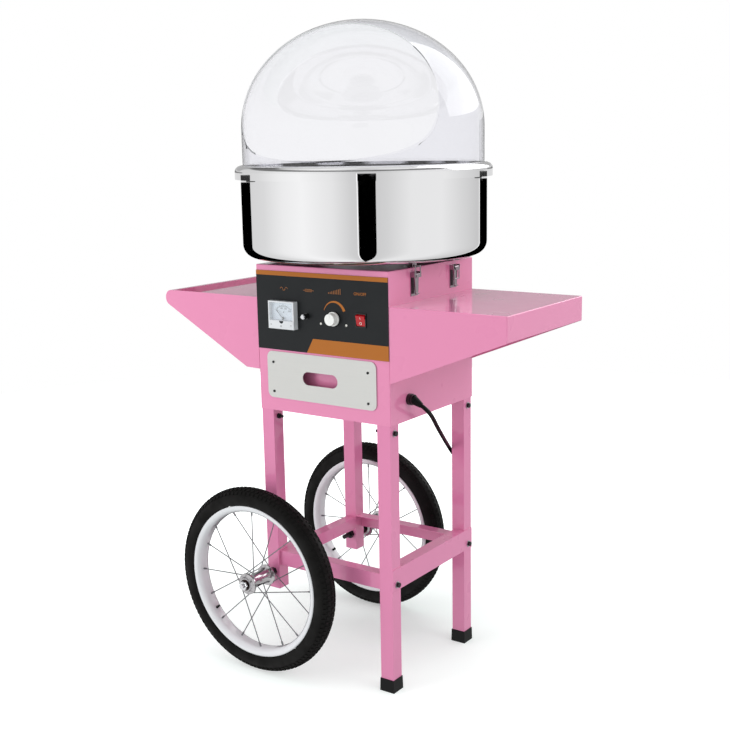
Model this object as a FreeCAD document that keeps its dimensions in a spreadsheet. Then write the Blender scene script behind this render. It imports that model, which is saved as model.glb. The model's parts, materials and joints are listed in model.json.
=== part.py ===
import FreeCAD, Part

import math
import os
import re

import Sketcher

# An electric cotton candy machine on a two-wheeled cart.
# Millimetres, +Z up. The origin is on the floor, under the axis of the bowl. +X points to the flat shelf,
# and the control panel faces -Y.

V = FreeCAD.Vector

SIZES = {
    # cabinet of bent sheet
    "cab_x": 162.5,
    "cab_y": 156.7,
    "cab_low": 556.6,
    "cab_high": 856.4,
    "sheet": 1.5,
    "bend": 2.0,
    # right shelf and left tray
    "shelf_end": 414.4,
    "shelf_top": 789.5,
    "shelf_lip": 49,
    "wing_low": 640.4,
    "tray_end": 421.7,
    "tray_top": 789,
    "tray_floor": 775.5,
    "tray_wall": 397,
    "tray_toe": 197.4,
    "tray_nose": 762,
    "tray_round": 16,
    # legs and the bars between them
    "leg": 30,
    "leg_wall": 1.5,
    "leg_x": 145,
    "leg_y": 141,
    "leg_foot": 5,
    "wheel_leg_low": 163,
    "stub_low": 516,
    "bolt_high": 540,
    "bolt_low": 229,
    "bolt_r": 3,
    "foot_wide": 34,
    "foot_high": 27,
    "bar_low": 215,
    "bar_high": 247,
    "bar_face": 150,
    "bar_deep": 25,
    "bar_wall": 2,
    "side_low": 217,
    "side_high": 262,
    # wheels
    "axle_z": 199.5,
    "axle_r": 5,
    "axle_end": 262,
    "axle_inner": 98,
    "wheel_y": 211,
    "tyre_mid": 176.5,
    "tyre_r": 23,
    "tyre_rubber": 3.5,
    "rim_r": 163,
    "rim_well": 148.5,
    "rim_half": 18.6,
    "hub_half": 38,
    "hub_flange": 30.5,
    "flange_r": 22.5,
    "barrel_r": 14.5,
    "spoke_r": 1.1,
    "spoke_hole": 19,
    "play": 0.05,
    # bowl, its rolled rim and the dome
    "bowl_r": 249.3,
    "bowl_wall": 1.2,
    "bowl_low": 869.8,
    "bowl_high": 1051.5,
    "bowl_corner": 26,
    "rim_out": 260.5,
    "rim_skirt": 1026,
    "rim_shoulder": 10.5,
    "ledge_r": 239.5,
    "ledge_z": 1046,
    "dome_r": 244,
    "dome_rise": 209.2,
    "dome_wall": 3,
    "dome_mid": 1123.5,
    "dome_low": 1047.5,
    "mouth_turn": 13.4,
    "mouth_lift": 43.3,
    "mouth_wide": 202.3,
    "mouth_tall": 147.6,
    "mouth_z": 1035,
    # motor and spinner
    "shaft_r": 6,
    "housing_r": 90,
    "motor_r": 52,
    "motor_low": 695,
    "motor_high": 805,
    "plate_z": 812,
    "head_r": 55,
    "head_low": 930,
    "head_high": 980,
    "band_r": 51,
    # control panel and what is on it
    "panel_low": 684.5,
    "panel_high": 845,
    "panel_x": 161.5,
    "meter_left": -122,
    "meter_right": -57,
    "meter_low": 730,
    "meter_high": 786,
    "meter_front": 171,
    "needle_x": -88.5,
    "needle_z": 751,
    "knob_x": 34,
    "knob_z": 758,
    "knob_r": 14,
    "switch_x": 98.5,
    "switch_z": 759.5,
    "fuse_x": -33.5,
    "fuse_z": 758.5,
    # drawer
    "drawer_x": -3.5,
    "drawer_half": 129,
    "drawer_low": 592.3,
    "drawer_high": 672,
    "drawer_back": 75,
    "front_half": 135.3,
    "front_low": 584,
    "front_high": 680.5,
    "front_round": 13,
    # spring latches, measured from the cabinet's side
    "pin_out": 6,
    "pin_z": 843,
    "pin_r": 1.5,
    "link": 3.5,
    "wire_r": 1.25,
    "bail_y": 9.2,
    "lever_half": 7.5,
    "catch_foot": 857,
    # mains cord
    "cord_r": 4.25,
    "inlet_y": -91,
    "inlet_z": 599,
    "inlet_out": 10.5,
    "hank_high": 190,
    "hank_wide": 76.5,
    "hank_thick": 17.5,
    "hank_mid": 313.5,
    "hank_away": 62,
}

doc = FreeCAD.newDocument("CottonCandyCart")
sheet = doc.addObject("Spreadsheet::Sheet", "Sizes")
for row, (alias, number) in enumerate(SIZES.items(), 1):
    sheet.set(f"A{row}", alias)
    sheet.set(f"B{row}", str(number))
    sheet.setAlias(f"B{row}", alias)
doc.recompute()

parts = []


def cells(text):
    """A formula in cell names, written for the expression engine."""

    def cell(found):
        return "Sizes." + found.group() if found.group() in SIZES else found.group()

    return re.sub("[a-z][a-z_]*", cell, str(text))


def size(text):
    return float(sheet.evalExpression(cells(text)))


def bind(item, name, text):
    item.setExpression(name, cells(text))


def keep(item, label):
    """Makes an object a sub-part of its own, under the name of its file."""
    item.Label = label
    parts.append(item)
    return item


def put(item, x=0, y=0, z=0, turn=None):
    if turn:
        item.Placement.Rotation = FreeCAD.Rotation(*turn)
    for name, text in (("x", x), ("y", y), ("z", z)):
        bind(item, ".Placement.Base." + name, text)
    return item


# Part primitives, their sizes and places bound to the sheet


def box(x, y, z):
    """A box between two limits on each axis."""
    item = doc.addObject("Part::Box", "Block")
    put(item, x[0], y[0], z[0])
    for name, (low, high) in (("Length", x), ("Width", y), ("Height", z)):
        bind(item, name, f"({high}) - ({low})")
    return item


TURNS = {"x": (V(0, 1, 0), 90), "y": (V(1, 0, 0), -90), "z": (V(0, 0, 1), 0)}


def post(x, y, half, low, high):
    """A square post about a vertical line."""
    return box((f"{x} - ({half})", f"{x} + {half}"), (f"{y} - ({half})", f"{y} + {half}"), (low, high))


def rod(axis, radius, start, end, across):
    """A cylinder along an axis, between two limits, at a place on the two other axes."""
    item = doc.addObject("Part::Cylinder", "Rod")
    bind(item, "Radius", radius)
    bind(item, "Height", f"({end}) - ({start})")
    at = {"x": (start, *across), "y": (across[0], start, across[1]), "z": (*across, start)}[axis]
    return put(item, *at, turn=TURNS[axis])


def cone(axis, radius, end_radius, start, end, across):
    item = doc.addObject("Part::Cone", "Cone")
    bind(item, "Radius1", radius)
    bind(item, "Radius2", end_radius)
    bind(item, "Height", f"({end}) - ({start})")
    at = {"x": (start, *across), "y": (across[0], start, across[1]), "z": (*across, start)}[axis]
    return put(item, *at, turn=TURNS[axis])


def join(*pieces):
    if len(pieces) == 1:
        return pieces[0]
    item = doc.addObject("Part::MultiFuse", "Joined")
    item.Shapes = list(pieces)
    return item


def group(*pieces):
    """Separate solids that share one node."""
    item = doc.addObject("Part::Compound", "Group")
    item.Links = list(pieces)
    return item


def cut(base, *tools):
    item = doc.addObject("Part::Cut", "Cut")
    item.Base = base
    item.Tool = join(*tools)
    return item


# PartDesign bodies


def body(label):
    item = doc.addObject("PartDesign::Body", label)
    keep(item, label)
    return item


def sketch(item, role, *loops):
    """A sketch of closed outlines, each corner tied to the sheet."""
    flat = item.newObject("Sketcher::SketchObject", item.Name + "_sketch")
    plane = next(feature for feature in item.Origin.OriginFeatures if feature.Role == role)
    flat.AttachmentSupport = (plane, [""])
    flat.MapMode = "FlatFace"
    for corners in loops:
        first = flat.GeometryCount
        places = [V(size(x), size(y), 0) for x, y in corners]
        for start, end in zip(places, places[1:] + places[:1]):
            flat.addGeometry(Part.LineSegment(start, end))
        for side in range(len(corners)):
            following = first + (side + 1) % len(corners)
            flat.addConstraint(Sketcher.Constraint("Coincident", first + side, 2, following, 1))
        for side, (corner, place) in enumerate(zip(corners, places)):
            distances = ("DistanceX", corner[0], place.x), ("DistanceY", corner[1], place.y)
            for kind, text, number in distances:
                index = flat.addConstraint(Sketcher.Constraint(kind, -1, 1, first + side, 1, number))
                flat.setExpression(f"Constraints[{index}]", cells(text))
    return flat


def rectangle(half_x, half_y):
    left, low = f"-({half_x})", f"-({half_y})"
    return [(left, low), (half_x, low), (half_x, half_y), (left, half_y)]


def extrude(item, kind, flat, length, side="One side", back=False):
    """A Pad, or a Pocket that has to take material away."""
    before = item.Shape.Volume if kind == "Pocket" else 0
    feature = item.newObject("PartDesign::" + kind, item.Name + "_" + kind)
    feature.Profile = flat
    feature.SideType = side
    feature.Reversed = back
    bind(feature, "Length", length)
    doc.recompute()
    if kind == "Pocket" and not item.Shape.Volume < before:
        raise RuntimeError(f"{feature.Name} cuts nothing")
    return feature


def revolve(item, flat, role="V_Axis"):
    feature = item.newObject("PartDesign::Revolution", item.Name + "_Revolution")
    feature.Profile = flat
    feature.ReferenceAxis = (flat, [role])
    feature.Angle = 360
    doc.recompute()
    return feature


def rounded(item, feature, radius, wanted):
    """A fillet on the edges whose middle passes a test."""
    names = [f"Edge{index}" for index, edge in enumerate(feature.Shape.Edges, 1) if wanted(middle(edge))]
    if not names:
        raise RuntimeError(f"{item.Label} has no such edge")
    fillet = item.newObject("PartDesign::Fillet", item.Name + "_Fillet")
    fillet.Base = (feature, names)
    bind(fillet, "Radius", radius)
    doc.recompute()
    return fillet


def middle(edge):
    return edge.valueAt((edge.FirstParameter + edge.LastParameter) / 2)


def near(number, other):
    return abs(number - other) < 0.05


def shaped(label, shape):
    """A sub-part whose shape is made by Part's own functions."""
    item = doc.addObject("Part::Feature", label)
    item.Shape = shape
    return keep(item, label)


# Cabinet


INSIDE_X = ("-cab_x + sheet", "cab_x - sheet")


def cabinet_shell():
    """Front, top and two sides of painted steel. The back and the bottom are open."""
    walls = body("cabinet_blank")
    parts.remove(walls)
    footprint = sketch(walls, "XY_Plane", rectangle("cab_x", "cab_y"))
    block = extrude(walls, "Pad", footprint, "cab_high - cab_low")
    high, front = size("cab_high - cab_low"), -size("cab_y")

    def bent(place):
        return near(place.z, high) and place.y < 1 or near(place.y, front) and near(place.z, high / 2)

    rounded(walls, block, "bend", bent)
    put(walls, z="cab_low")
    inside = box(INSIDE_X, ("-cab_y + sheet", "cab_y + 1"), ("cab_low - 1", "cab_high - sheet"))
    drawer_hole = box(
        ("drawer_x - drawer_half - 2", "drawer_x + drawer_half + 2"),
        ("-cab_y - 1", "-cab_y + sheet + 1"),
        ("drawer_low - 4", "drawer_high + 3.5"),
    )
    panel_hole = box(("-150", "150"), ("-cab_y - 1", "-cab_y + sheet + 1"), ("700", "833"))
    housing_hole = rod("z", "25", "cab_high - sheet - 1", "cab_high + 1", ("0", "0"))
    inlet_hole = rod("x", "8", "cab_x - sheet - 1", "cab_x + 1", ("inlet_y", "inlet_z"))
    keep(cut(walls, inside, drawer_hole, panel_hole, housing_hole, inlet_hole), "cabinet_shell")


def cabinet_floor():
    """A floor plate with four square stubs that the legs push onto."""
    plate = box(INSIDE_X, ("-cab_y + sheet", "cab_y - sheet"), ("cab_low", "cab_low + sheet"))
    stubs, holes = [], []
    for x in ("-leg_x", "leg_x"):
        for y in ("-leg_y", "leg_y"):
            outer = post(x, y, "leg / 2 - leg_wall - 0.1", "stub_low", "cab_low")
            bore = post(x, y, "leg / 2 - leg_wall - 1.6", "stub_low - 1", "cab_low")
            stubs.append(cut(outer, bore))
            holes.append(rod("x", "bolt_r + 0.1", f"{x} - leg", f"{x} + leg", (y, "bolt_high")))
    keep(cut(join(plate, *stubs), *holes), "cabinet_floor")


def back_cover():
    """A flat cover in the back of the shell, with two columns of cooling slots."""
    plate = box(INSIDE_X, ("cab_y - sheet", "cab_y"), ("cab_low", "cab_high - sheet"))
    slots = []
    for left in (-110, 30):
        for step in range(7):
            low = 720 + 14 * step
            slots.append(box((left, left + 80), ("cab_y - sheet - 1", "cab_y + 1"), (low, low + 5)))
    keep(cut(plate, *slots), "back_cover")


def cabinet_screws():
    """Pan heads: six on the back cover and two at the foot of each wing."""
    heads = []
    for x in ("-cab_x + 12", "cab_x - 12"):
        for z in ("cab_low + 14", "(cab_low + cab_high) / 2", "cab_high - 14"):
            heads.append(rod("y", "3.6", "cab_y", "cab_y + 2", (x, z)))
    for y in ("-110", "110"):
        heads.append(rod("x", "3.6", "cab_x - sheet - 2.2", "cab_x - sheet", (y, "700")))
        heads.append(rod("x", "3.6", "-cab_x + sheet", "-cab_x + sheet + 2.2", (y, "700")))
    keep(group(*heads), "cabinet_screws")


# Wings


def right_shelf():
    """A flat top with a deep end face and triangular side plates, open underneath."""
    wing = body("right_shelf")
    outline = [
        ("cab_x", "wing_low"),
        ("shelf_end", "shelf_top - shelf_lip"),
        ("shelf_end", "shelf_top"),
        ("cab_x", "shelf_top"),
    ]
    block = extrude(wing, "Pad", sketch(wing, "XZ_Plane", outline), "2 * cab_y", "Symmetric")
    top, end = size("shelf_top"), size("shelf_end")
    rounded(wing, block, "bend", lambda place: near(place.x, end) or near(place.z, top) and place.x > 200)
    hollow = [
        ("cab_x - 1", "wing_low - 20"),
        ("shelf_end - sheet", "shelf_top - shelf_lip - 20"),
        ("shelf_end - sheet", "shelf_top - sheet"),
        ("cab_x + sheet", "shelf_top - sheet"),
        ("cab_x + sheet", "wing_low + 3"),
        ("cab_x - 1", "wing_low + 3"),
    ]
    extrude(wing, "Pocket", sketch(wing, "XZ_Plane", hollow), "2 * (cab_y - sheet)", "Symmetric")


def left_tray():
    """A shallow tray between two side plates with rounded noses, open underneath."""
    wing = body("left_tray")
    outline = [
        ("-cab_x", "tray_top"),
        ("-tray_end", "tray_top"),
        ("-tray_end", "tray_nose"),
        ("-tray_toe", "wing_low"),
        ("-cab_x", "wing_low - 1"),
    ]
    block = extrude(wing, "Pad", sketch(wing, "XZ_Plane", outline), "2 * cab_y", "Symmetric")
    end = -size("tray_end")
    rounded(wing, block, "tray_round", lambda place: near(place.x, end) and abs(place.y) < 1)
    recess = [
        ("-cab_x - sheet", "tray_floor"),
        ("-tray_wall", "tray_floor"),
        ("-tray_wall", "tray_top + 1"),
        ("-cab_x - sheet", "tray_top + 1"),
    ]
    extrude(wing, "Pocket", sketch(wing, "XZ_Plane", recess), "2 * (cab_y - sheet)", "Symmetric")
    under = [
        ("-cab_x - sheet", "tray_floor - sheet"),
        ("-tray_wall - 8", "tray_floor - sheet"),
        ("-tray_wall - 8", "tray_nose - 12"),
        ("-tray_toe", "wing_low - 20"),
        ("-cab_x - sheet", "wing_low - 20"),
    ]
    extrude(wing, "Pocket", sketch(wing, "XZ_Plane", under), "2 * (cab_y - sheet)", "Symmetric")


# Cart


CORNERS = {
    "front_right": ("leg_x", "-leg_y"),
    "rear_right": ("leg_x", "leg_y"),
    "front_left": ("-leg_x", "-leg_y"),
    "rear_left": ("-leg_x", "leg_y"),
}


def leg(corner):
    """A square tube with holes for the bolt at its head, the bar bolt and, on the wheel side, the axle."""
    x, y = CORNERS[corner]
    low = "wheel_leg_low" if "left" in corner else "leg_foot"
    bore = post(x, y, "leg / 2 - leg_wall", f"{low} - 1", "cab_low + 1")
    tube = cut(post(x, y, "leg / 2", low, "cab_low"), bore)
    holes = [rod("x", "bolt_r + 0.1", f"{x} - leg", f"{x} + leg", (y, "bolt_high"))]
    if "left" in corner:
        holes.append(rod("y", "axle_r", f"{y} - leg", f"{y} + leg", (x, "axle_z")))
    else:
        holes.append(rod("x", "bolt_r + 0.1", f"{x} - leg", f"{x} + leg", (y, "bolt_low")))
    keep(cut(tube, *holes), "leg_" + corner)


def cross_stretchers():
    """Two angle bars, front and rear, between the wheel legs and the long legs."""
    bars = []
    for turn in (-1, 1):
        face = (f"{turn} * bar_face", f"{turn} * (bar_face - bar_wall)")
        top = (f"{turn} * bar_face", f"{turn} * (bar_face - bar_deep)")
        along = ("-leg_x + leg / 2", "leg_x - leg / 2")
        bars.append(
            join(
                box(along, sorted(face, key=size), ("bar_low", "bar_high")),
                box(along, sorted(top, key=size), ("bar_high - bar_wall", "bar_high")),
            )
        )
    keep(group(*bars), "cross_stretchers")


def side_stretchers():
    """An angle bar between the wheel legs, and a deeper one bolted on the outside of the long legs."""
    along = ("-leg_y + leg / 2", "leg_y - leg / 2")
    left = "-leg_x + leg / 2"
    face = box((f"{left} - bar_wall", left), along, ("bar_low", "bar_high - 5"))
    top = box((f"{left} - bar_deep", left), along, ("bar_high - 5 - bar_wall", "bar_high - 5"))
    keep(join(face, top), "stretcher_left")
    right = "leg_x + leg / 2"
    outer = f"{right} + bar_wall"
    plate = box((right, outer), ("-leg_y - leg / 2", "leg_y + leg / 2"), ("side_low", "side_high"))
    flange = box((f"{right} - bar_deep", outer), along, ("side_high - bar_wall", "side_high"))
    holes = []
    for y in ("-leg_y", "leg_y"):
        holes.append(rod("x", "bolt_r + 0.1", f"{right} - 1", f"{outer} + 1", (y, "bolt_low")))
    keep(cut(join(plate, flange), *holes), "stretcher_right")


def rubber_feet():
    """Tapered rubber caps pushed over the ends of the two long legs."""
    feet = []
    for y in ("-leg_y", "leg_y"):
        boot = doc.addObject("Part::Wedge", "Boot")
        for name, text in (
            ("Xmin", "0"),
            ("Xmax", "foot_wide"),
            ("Ymin", "0"),
            ("Ymax", "foot_high"),
            ("Zmin", "0"),
            ("Zmax", "foot_wide"),
            ("X2min", "0.6"),
            ("X2max", "foot_wide - 0.6"),
            ("Z2min", "0.6"),
            ("Z2max", "foot_wide - 0.6"),
        ):
            bind(boot, name, text)
        put(boot, "leg_x - foot_wide / 2", f"{y} + foot_wide / 2", "0", turn=(V(1, 0, 0), 90))
        feet.append(cut(boot, post("leg_x", y, "leg / 2", "leg_foot", "foot_high + 1")))
    keep(group(*feet), "rubber_feet")


def bolt(side, y, z, seat, end):
    """A black bolt along X with its washer at the head and a nut at the other end."""
    head = (f"{side} * ({seat} + 1.5)", f"{side} * ({seat} + 6)")
    washer = (f"{side} * ({seat})", f"{side} * ({seat} + 1.5)")
    shank = (f"{side} * ({seat})", f"{side} * ({end})")
    nut = (f"{side} * (leg_x - leg / 2)", f"{side} * (leg_x - leg / 2 - 5)")
    pieces = []
    for radius, limits in (("5", head), ("7", washer), ("bolt_r", shank), ("5.4", nut)):
        low, high = sorted(limits, key=size)
        pieces.append(rod("x", radius, low, high, (y, z)))
    return join(*pieces)


def frame_bolts():
    """One bolt through the head of each leg, and two through the outside bar."""
    bolts = []
    for side in (-1, 1):
        for y in ("-leg_y", "leg_y"):
            bolts.append(bolt(side, y, "bolt_high", "leg_x + leg / 2", "leg_x - leg / 2 - 12"))
    for y in ("-leg_y", "leg_y"):
        bolts.append(bolt(1, y, "bolt_low", "leg_x + leg / 2 + bar_wall", "leg_x - leg / 2 - 8"))
    keep(group(*bolts), "frame_bolts")


# Wheels


def wheel(name, side):
    """Tyre, rim, spokes and hub. Their shapes are made about the origin, with the axle along Y."""
    at = {"x": "-leg_x", "y": f"{side} * wheel_y", "z": "axle_z"}

    tyre = cut(
        ring("tyre_mid", "tyre_r"),
        ring("tyre_mid", "tyre_r - tyre_rubber"),
        rod("y", "rim_r", "-tyre_r - 1", "tyre_r + 1", ("0", "0")),
    )
    keep(put(tyre, **at), "tyre_" + name)

    rim = body("rim_" + name)
    half = [
        ("rim_r", "rim_half - 4.6"),
        ("rim_r", "rim_half - 1"),
        ("rim_r - 2", "rim_half"),
        ("rim_r - 5", "rim_half - 0.4"),
        ("rim_well + 6.5", "rim_half - 1.6"),
        ("rim_well + 3.6", "rim_half - 3.8"),
        ("rim_well + 1.4", "rim_half - 6.8"),
        ("rim_well + 0.3", "rim_half - 9.8"),
        ("rim_well", "rim_half - 13"),
    ]
    inner = [
        ("rim_well + 2", "rim_half - 13"),
        ("rim_well + 2.6", "rim_half - 10"),
        ("rim_well + 4.6", "rim_half - 7.2"),
        ("rim_well + 7.5", "rim_half - 5.2"),
    ]
    outline = half + [(x, f"-({y})") for x, y in reversed(half)]
    outline += [(x, f"-({y})") for x, y in reversed(inner)] + inner
    revolve(rim, sketch(rim, "XY_Plane", outline))
    put(rim, **at)

    hub = body("hub_" + name)
    profile = [
        ("axle_r + play", "-hub_half"),
        ("9", "-hub_half"),
        ("12", "-hub_half + 4"),
        ("flange_r", "-hub_flange - 1.6"),
        ("flange_r", "-hub_flange + 1.6"),
        ("barrel_r + 2.5", "-hub_flange + 3"),
        ("barrel_r", "-hub_flange + 8"),
        ("barrel_r", "hub_flange - 8"),
        ("barrel_r + 2.5", "hub_flange - 3"),
        ("flange_r", "hub_flange - 1.6"),
        ("flange_r", "hub_flange + 1.6"),
        ("12", "hub_half - 4"),
        ("9", "hub_half"),
        ("axle_r + play", "hub_half"),
    ]
    revolve(hub, sketch(hub, "XY_Plane", profile))
    put(hub, **at)

    spokes = shaped("spokes_" + name, Part.makeCompound(spoke_set()))
    spokes.Placement.Base = V(size(at["x"]), size(at["y"]), size(at["z"]))


def ring(mid, radius):
    """A torus about the Y axis."""
    item = doc.addObject("Part::Torus", "Ring")
    bind(item, "Radius1", mid)
    bind(item, "Radius2", radius)
    item.Placement.Rotation = FreeCAD.Rotation(*TURNS["y"])
    return item


SPOKES = 16
FIRST_SPOKE = 2
LACING = 90


def spoke_set():
    """Sixteen crossed spokes, eight from each flange, each nearly tangent to its flange."""
    spokes = []
    for index in range(SPOKES):
        side = 1 if index % 2 else -1
        lean = LACING if index // 2 % 2 else -LACING
        at_rim = math.radians(FIRST_SPOKE + index * 360 / SPOKES)
        at_hub = at_rim + math.radians(lean)
        hole = size("spoke_hole")
        start = V(hole * math.cos(at_hub), side * (size("hub_flange") + 1.6), hole * math.sin(at_hub))
        nipple = size("rim_well") + 0.5
        end = V(nipple * math.cos(at_rim), side * 3, nipple * math.sin(at_rim))
        way = end - start
        wire = Part.makeCylinder(size("spoke_r"), way.Length, start, way)
        way.normalize()
        sleeve = Part.makeCylinder(size("spoke_r") + 0.9, 9, end - way * 9, way)
        spokes.append(wire.fuse(sleeve))
    return spokes


def axle(name, side):
    """A long bolt through the leg, with lock nuts on both sides of the leg and a nut outside the hub."""
    along = {
        "bolt": ("axle_r", "axle_inner", "axle_end"),
        "outer_nut": ("9.5", "wheel_y + hub_half + 0.5", "wheel_y + hub_half + 8"),
        "spacer": ("7.5", "leg_y + leg / 2 + 8", "wheel_y - hub_half - 0.5"),
        "leg_nut": ("9.5", "leg_y + leg / 2", "leg_y + leg / 2 + 8"),
        "inner_nut": ("9.5", "leg_y - leg / 2 - 8", "leg_y - leg / 2"),
    }
    pieces = []
    for part, (radius, low, high) in along.items():
        limits = sorted((f"{side} * ({low})", f"{side} * ({high})"), key=size)
        if "nut" in part:
            pieces.append(hexagon(radius, *limits))
        else:
            pieces.append(rod("y", radius, *limits, ("-leg_x", "axle_z")))
    keep(join(*pieces), "axle_" + name)


def hexagon(radius, low, high):
    """A hexagonal nut on the axle."""
    item = doc.addObject("Part::Prism", "Nut")
    item.Polygon = 6
    bind(item, "Circumradius", radius)
    bind(item, "Height", f"({high}) - ({low})")
    return put(item, "-leg_x", low, "axle_z", turn=TURNS["y"])


# Bowl and dome


def on_circle(radius, z):
    return lambda place: near(math.hypot(place.x, place.y), radius) and near(place.z, z)


def bowl():
    """A spun steel bowl with a hole for the shaft housing."""
    pan = body("bowl")
    outline = [
        ("20", "bowl_low"),
        ("bowl_r", "bowl_low"),
        ("bowl_r", "bowl_high"),
        ("bowl_r - bowl_wall", "bowl_high"),
        ("bowl_r - bowl_wall", "bowl_low + bowl_wall"),
        ("20", "bowl_low + bowl_wall"),
    ]
    spun = revolve(pan, sketch(pan, "XZ_Plane", outline))
    wide, low, wall = size("bowl_r"), size("bowl_low"), size("bowl_wall")
    outside = rounded(pan, spun, "bowl_corner", on_circle(wide, low))
    rounded(pan, outside, "bowl_corner - bowl_wall", on_circle(wide - wall, low + wall))


def bowl_rim():
    """The rolled edge of the bowl: a shoulder and a skirt outside, and a ledge for the dome inside."""
    rolled = body("bowl_rim")
    outline = [
        ("ledge_r", "ledge_z"),
        ("bowl_r - bowl_wall", "ledge_z"),
        ("bowl_r - bowl_wall", "bowl_high"),
        ("rim_out - bowl_wall", "bowl_high"),
        ("rim_out - bowl_wall", "rim_skirt + bowl_wall"),
        ("bowl_r", "rim_skirt + bowl_wall"),
        ("bowl_r", "rim_skirt"),
        ("rim_out", "rim_skirt"),
        ("rim_out", "bowl_high + bowl_wall"),
        ("bowl_r - 2 * bowl_wall", "bowl_high + bowl_wall"),
        ("bowl_r - 2 * bowl_wall", "ledge_z + bowl_wall"),
        ("ledge_r", "ledge_z + bowl_wall"),
    ]
    spun = revolve(rolled, sketch(rolled, "XZ_Plane", outline))
    wide, high, wall = size("rim_out"), size("bowl_high"), size("bowl_wall")
    outside = rounded(rolled, spun, "rim_shoulder", on_circle(wide, high + wall))
    rounded(rolled, outside, "rim_shoulder - bowl_wall", on_circle(wide - wall, high))


def dome():
    """A clear cap on a short skirt, with an oval mouth that faces forward and up."""
    wall, low, mid = size("dome_wall"), size("dome_low"), size("dome_mid")
    radius, rise = size("dome_r"), size("dome_rise")

    def bell(wide, high):
        crown = V(0, 0, mid + high)
        arc = Part.Ellipse(V(wide, 0, mid), crown, V(0, 0, mid)).toShape(0, math.pi / 2)
        sides = Part.makePolygon([crown, V(0, 0, low), V(wide, 0, low), V(wide, 0, mid)])
        half = Part.Face(Part.Wire(Part.__sortEdges__([arc, *sides.Edges])))
        return half.revolve(V(), V(0, 0, 1), 360)

    turn, lift = math.radians(size("mouth_turn")), math.radians(size("mouth_lift"))
    out = V(math.sin(turn) * math.cos(lift), -math.cos(turn) * math.cos(lift), math.sin(lift))
    across = V(math.cos(turn), math.sin(turn), 0)
    oval = Part.Ellipse(V(), size("mouth_wide"), size("mouth_tall"))
    hole = Part.Face(Part.Wire(oval.toShape())).extrude(V(0, 0, 2 * radius))
    facing = FreeCAD.Rotation(across, out.cross(across), out, "ZXY")
    hole.Placement = FreeCAD.Placement(V(0, 0, size("mouth_z")), facing)
    shell = bell(radius, rise).cut(bell(radius - wall, rise - wall)).removeSplitter()
    shaped("dome", shell.cut(hole))


# Drive


def bearing_housing():
    """A turned flange that carries the bowl and guides the shaft."""
    housing = body("bearing_housing")
    outline = [
        ("shaft_r + play", "cab_high - 12"),
        ("24.8", "cab_high - 12"),
        ("24.8", "cab_high"),
        ("housing_r", "cab_high"),
        ("housing_r", "bowl_low"),
        ("19.8", "bowl_low"),
        ("19.8", "bowl_low + 14"),
        ("12", "bowl_low + 22"),
        ("shaft_r + play", "bowl_low + 22"),
    ]
    revolve(housing, sketch(housing, "XZ_Plane", outline))


def motor():
    case = rod("z", "motor_r", "motor_low", "motor_high", ("0", "0"))
    cap = cone("z", "motor_r - 8", "18", "motor_low - 10", "motor_low", ("0", "0"))
    boss = rod("z", "15", "motor_high", "plate_z", ("0", "0"))
    bore = rod("z", "shaft_r + play", "motor_high - 20", "plate_z + 1", ("0", "0"))
    keep(cut(join(case, cap, boss), bore), "motor")


def motor_bracket():
    """A plate on four pillars under the top of the cabinet."""
    plate = box(("-70", "70"), ("-70", "70"), ("plate_z", "plate_z + 3"))
    pillars = []
    for x in ("-60", "60"):
        for y in ("-60", "60"):
            pillars.append(rod("z", "5", "plate_z + 3", "cab_high - sheet", (x, y)))
    hole = rod("z", "9", "plate_z - 1", "plate_z + 4", ("0", "0"))
    keep(cut(join(plate, *pillars), hole), "motor_bracket")


def drive_shaft():
    keep(rod("z", "shaft_r", "motor_high - 18", "head_low + 8", ("0", "0")), "drive_shaft")


def spinner_head():
    """A base plate with its hub and a cap with the sugar hole, on three pillars."""
    base = rod("z", "head_r", "head_low", "head_low + 6", ("0", "0"))
    hub = rod("z", "13", "head_low - 12", "head_low", ("0", "0"))
    cap = rod("z", "head_r", "head_high - 5", "head_high", ("0", "0"))
    sugar = rod("z", "32", "head_high - 6", "head_high + 1", ("0", "0"))
    pillars = []
    for index in range(3):
        angle = f"{120 * index + 30} deg"
        place = (f"42 * cos({angle})", f"42 * sin({angle})")
        pillars.append(rod("z", "2.5", "head_low + 6", "head_high - 5", place))
    bore = rod("z", "shaft_r", "head_low - 13", "head_low + 8", ("0", "0"))
    keep(join(cut(join(base, hub), bore), cut(cap, sugar), *pillars), "spinner_head")


def heating_ring():
    """The heated band that the sugar is spun through, with a row of slots."""
    band = body("heating_ring")
    outline = [
        ("band_r - 2.5", "head_low + 6"),
        ("band_r", "head_low + 6"),
        ("band_r", "head_high - 5"),
        ("band_r - 2.5", "head_high - 5"),
    ]
    revolve(band, sketch(band, "XZ_Plane", outline))
    slot = [
        ("-1", "head_low + 12"),
        ("1", "head_low + 12"),
        ("1", "head_high - 11"),
        ("-1", "head_high - 11"),
    ]
    window = extrude(band, "Pocket", sketch(band, "XZ_Plane", slot), "2 * band_r", back=True)
    slots = band.newObject("PartDesign::PolarPattern", "heating_ring_slots")
    slots.Originals = [window]
    slots.Axis = (next(feature for feature in band.Origin.OriginFeatures if feature.Role == "Z_Axis"), [""])
    slots.Angle = 360
    slots.Occurrences = 24
    band.Tip = slots


# Control panel


def control_panel():
    """A dark plate with cut-outs for the instruments."""
    front = ("-cab_y - sheet", "-cab_y")
    plate = box(("-panel_x", "panel_x"), front, ("panel_low", "panel_high"))
    through = ("-cab_y - sheet - 1", "-cab_y + 1")
    holes = [
        rod("y", "24", *through, ("(meter_left + meter_right) / 2", "(meter_low + meter_high) / 2")),
        rod("y", "4.2", *through, ("fuse_x", "fuse_z")),
        rod("y", "5.1", *through, ("knob_x", "knob_z")),
        box(("switch_x - 11.7", "switch_x + 11.7"), through, ("switch_z - 12.9", "switch_z + 12.9")),
    ]
    keep(cut(plate, *holes), "control_panel")


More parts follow.
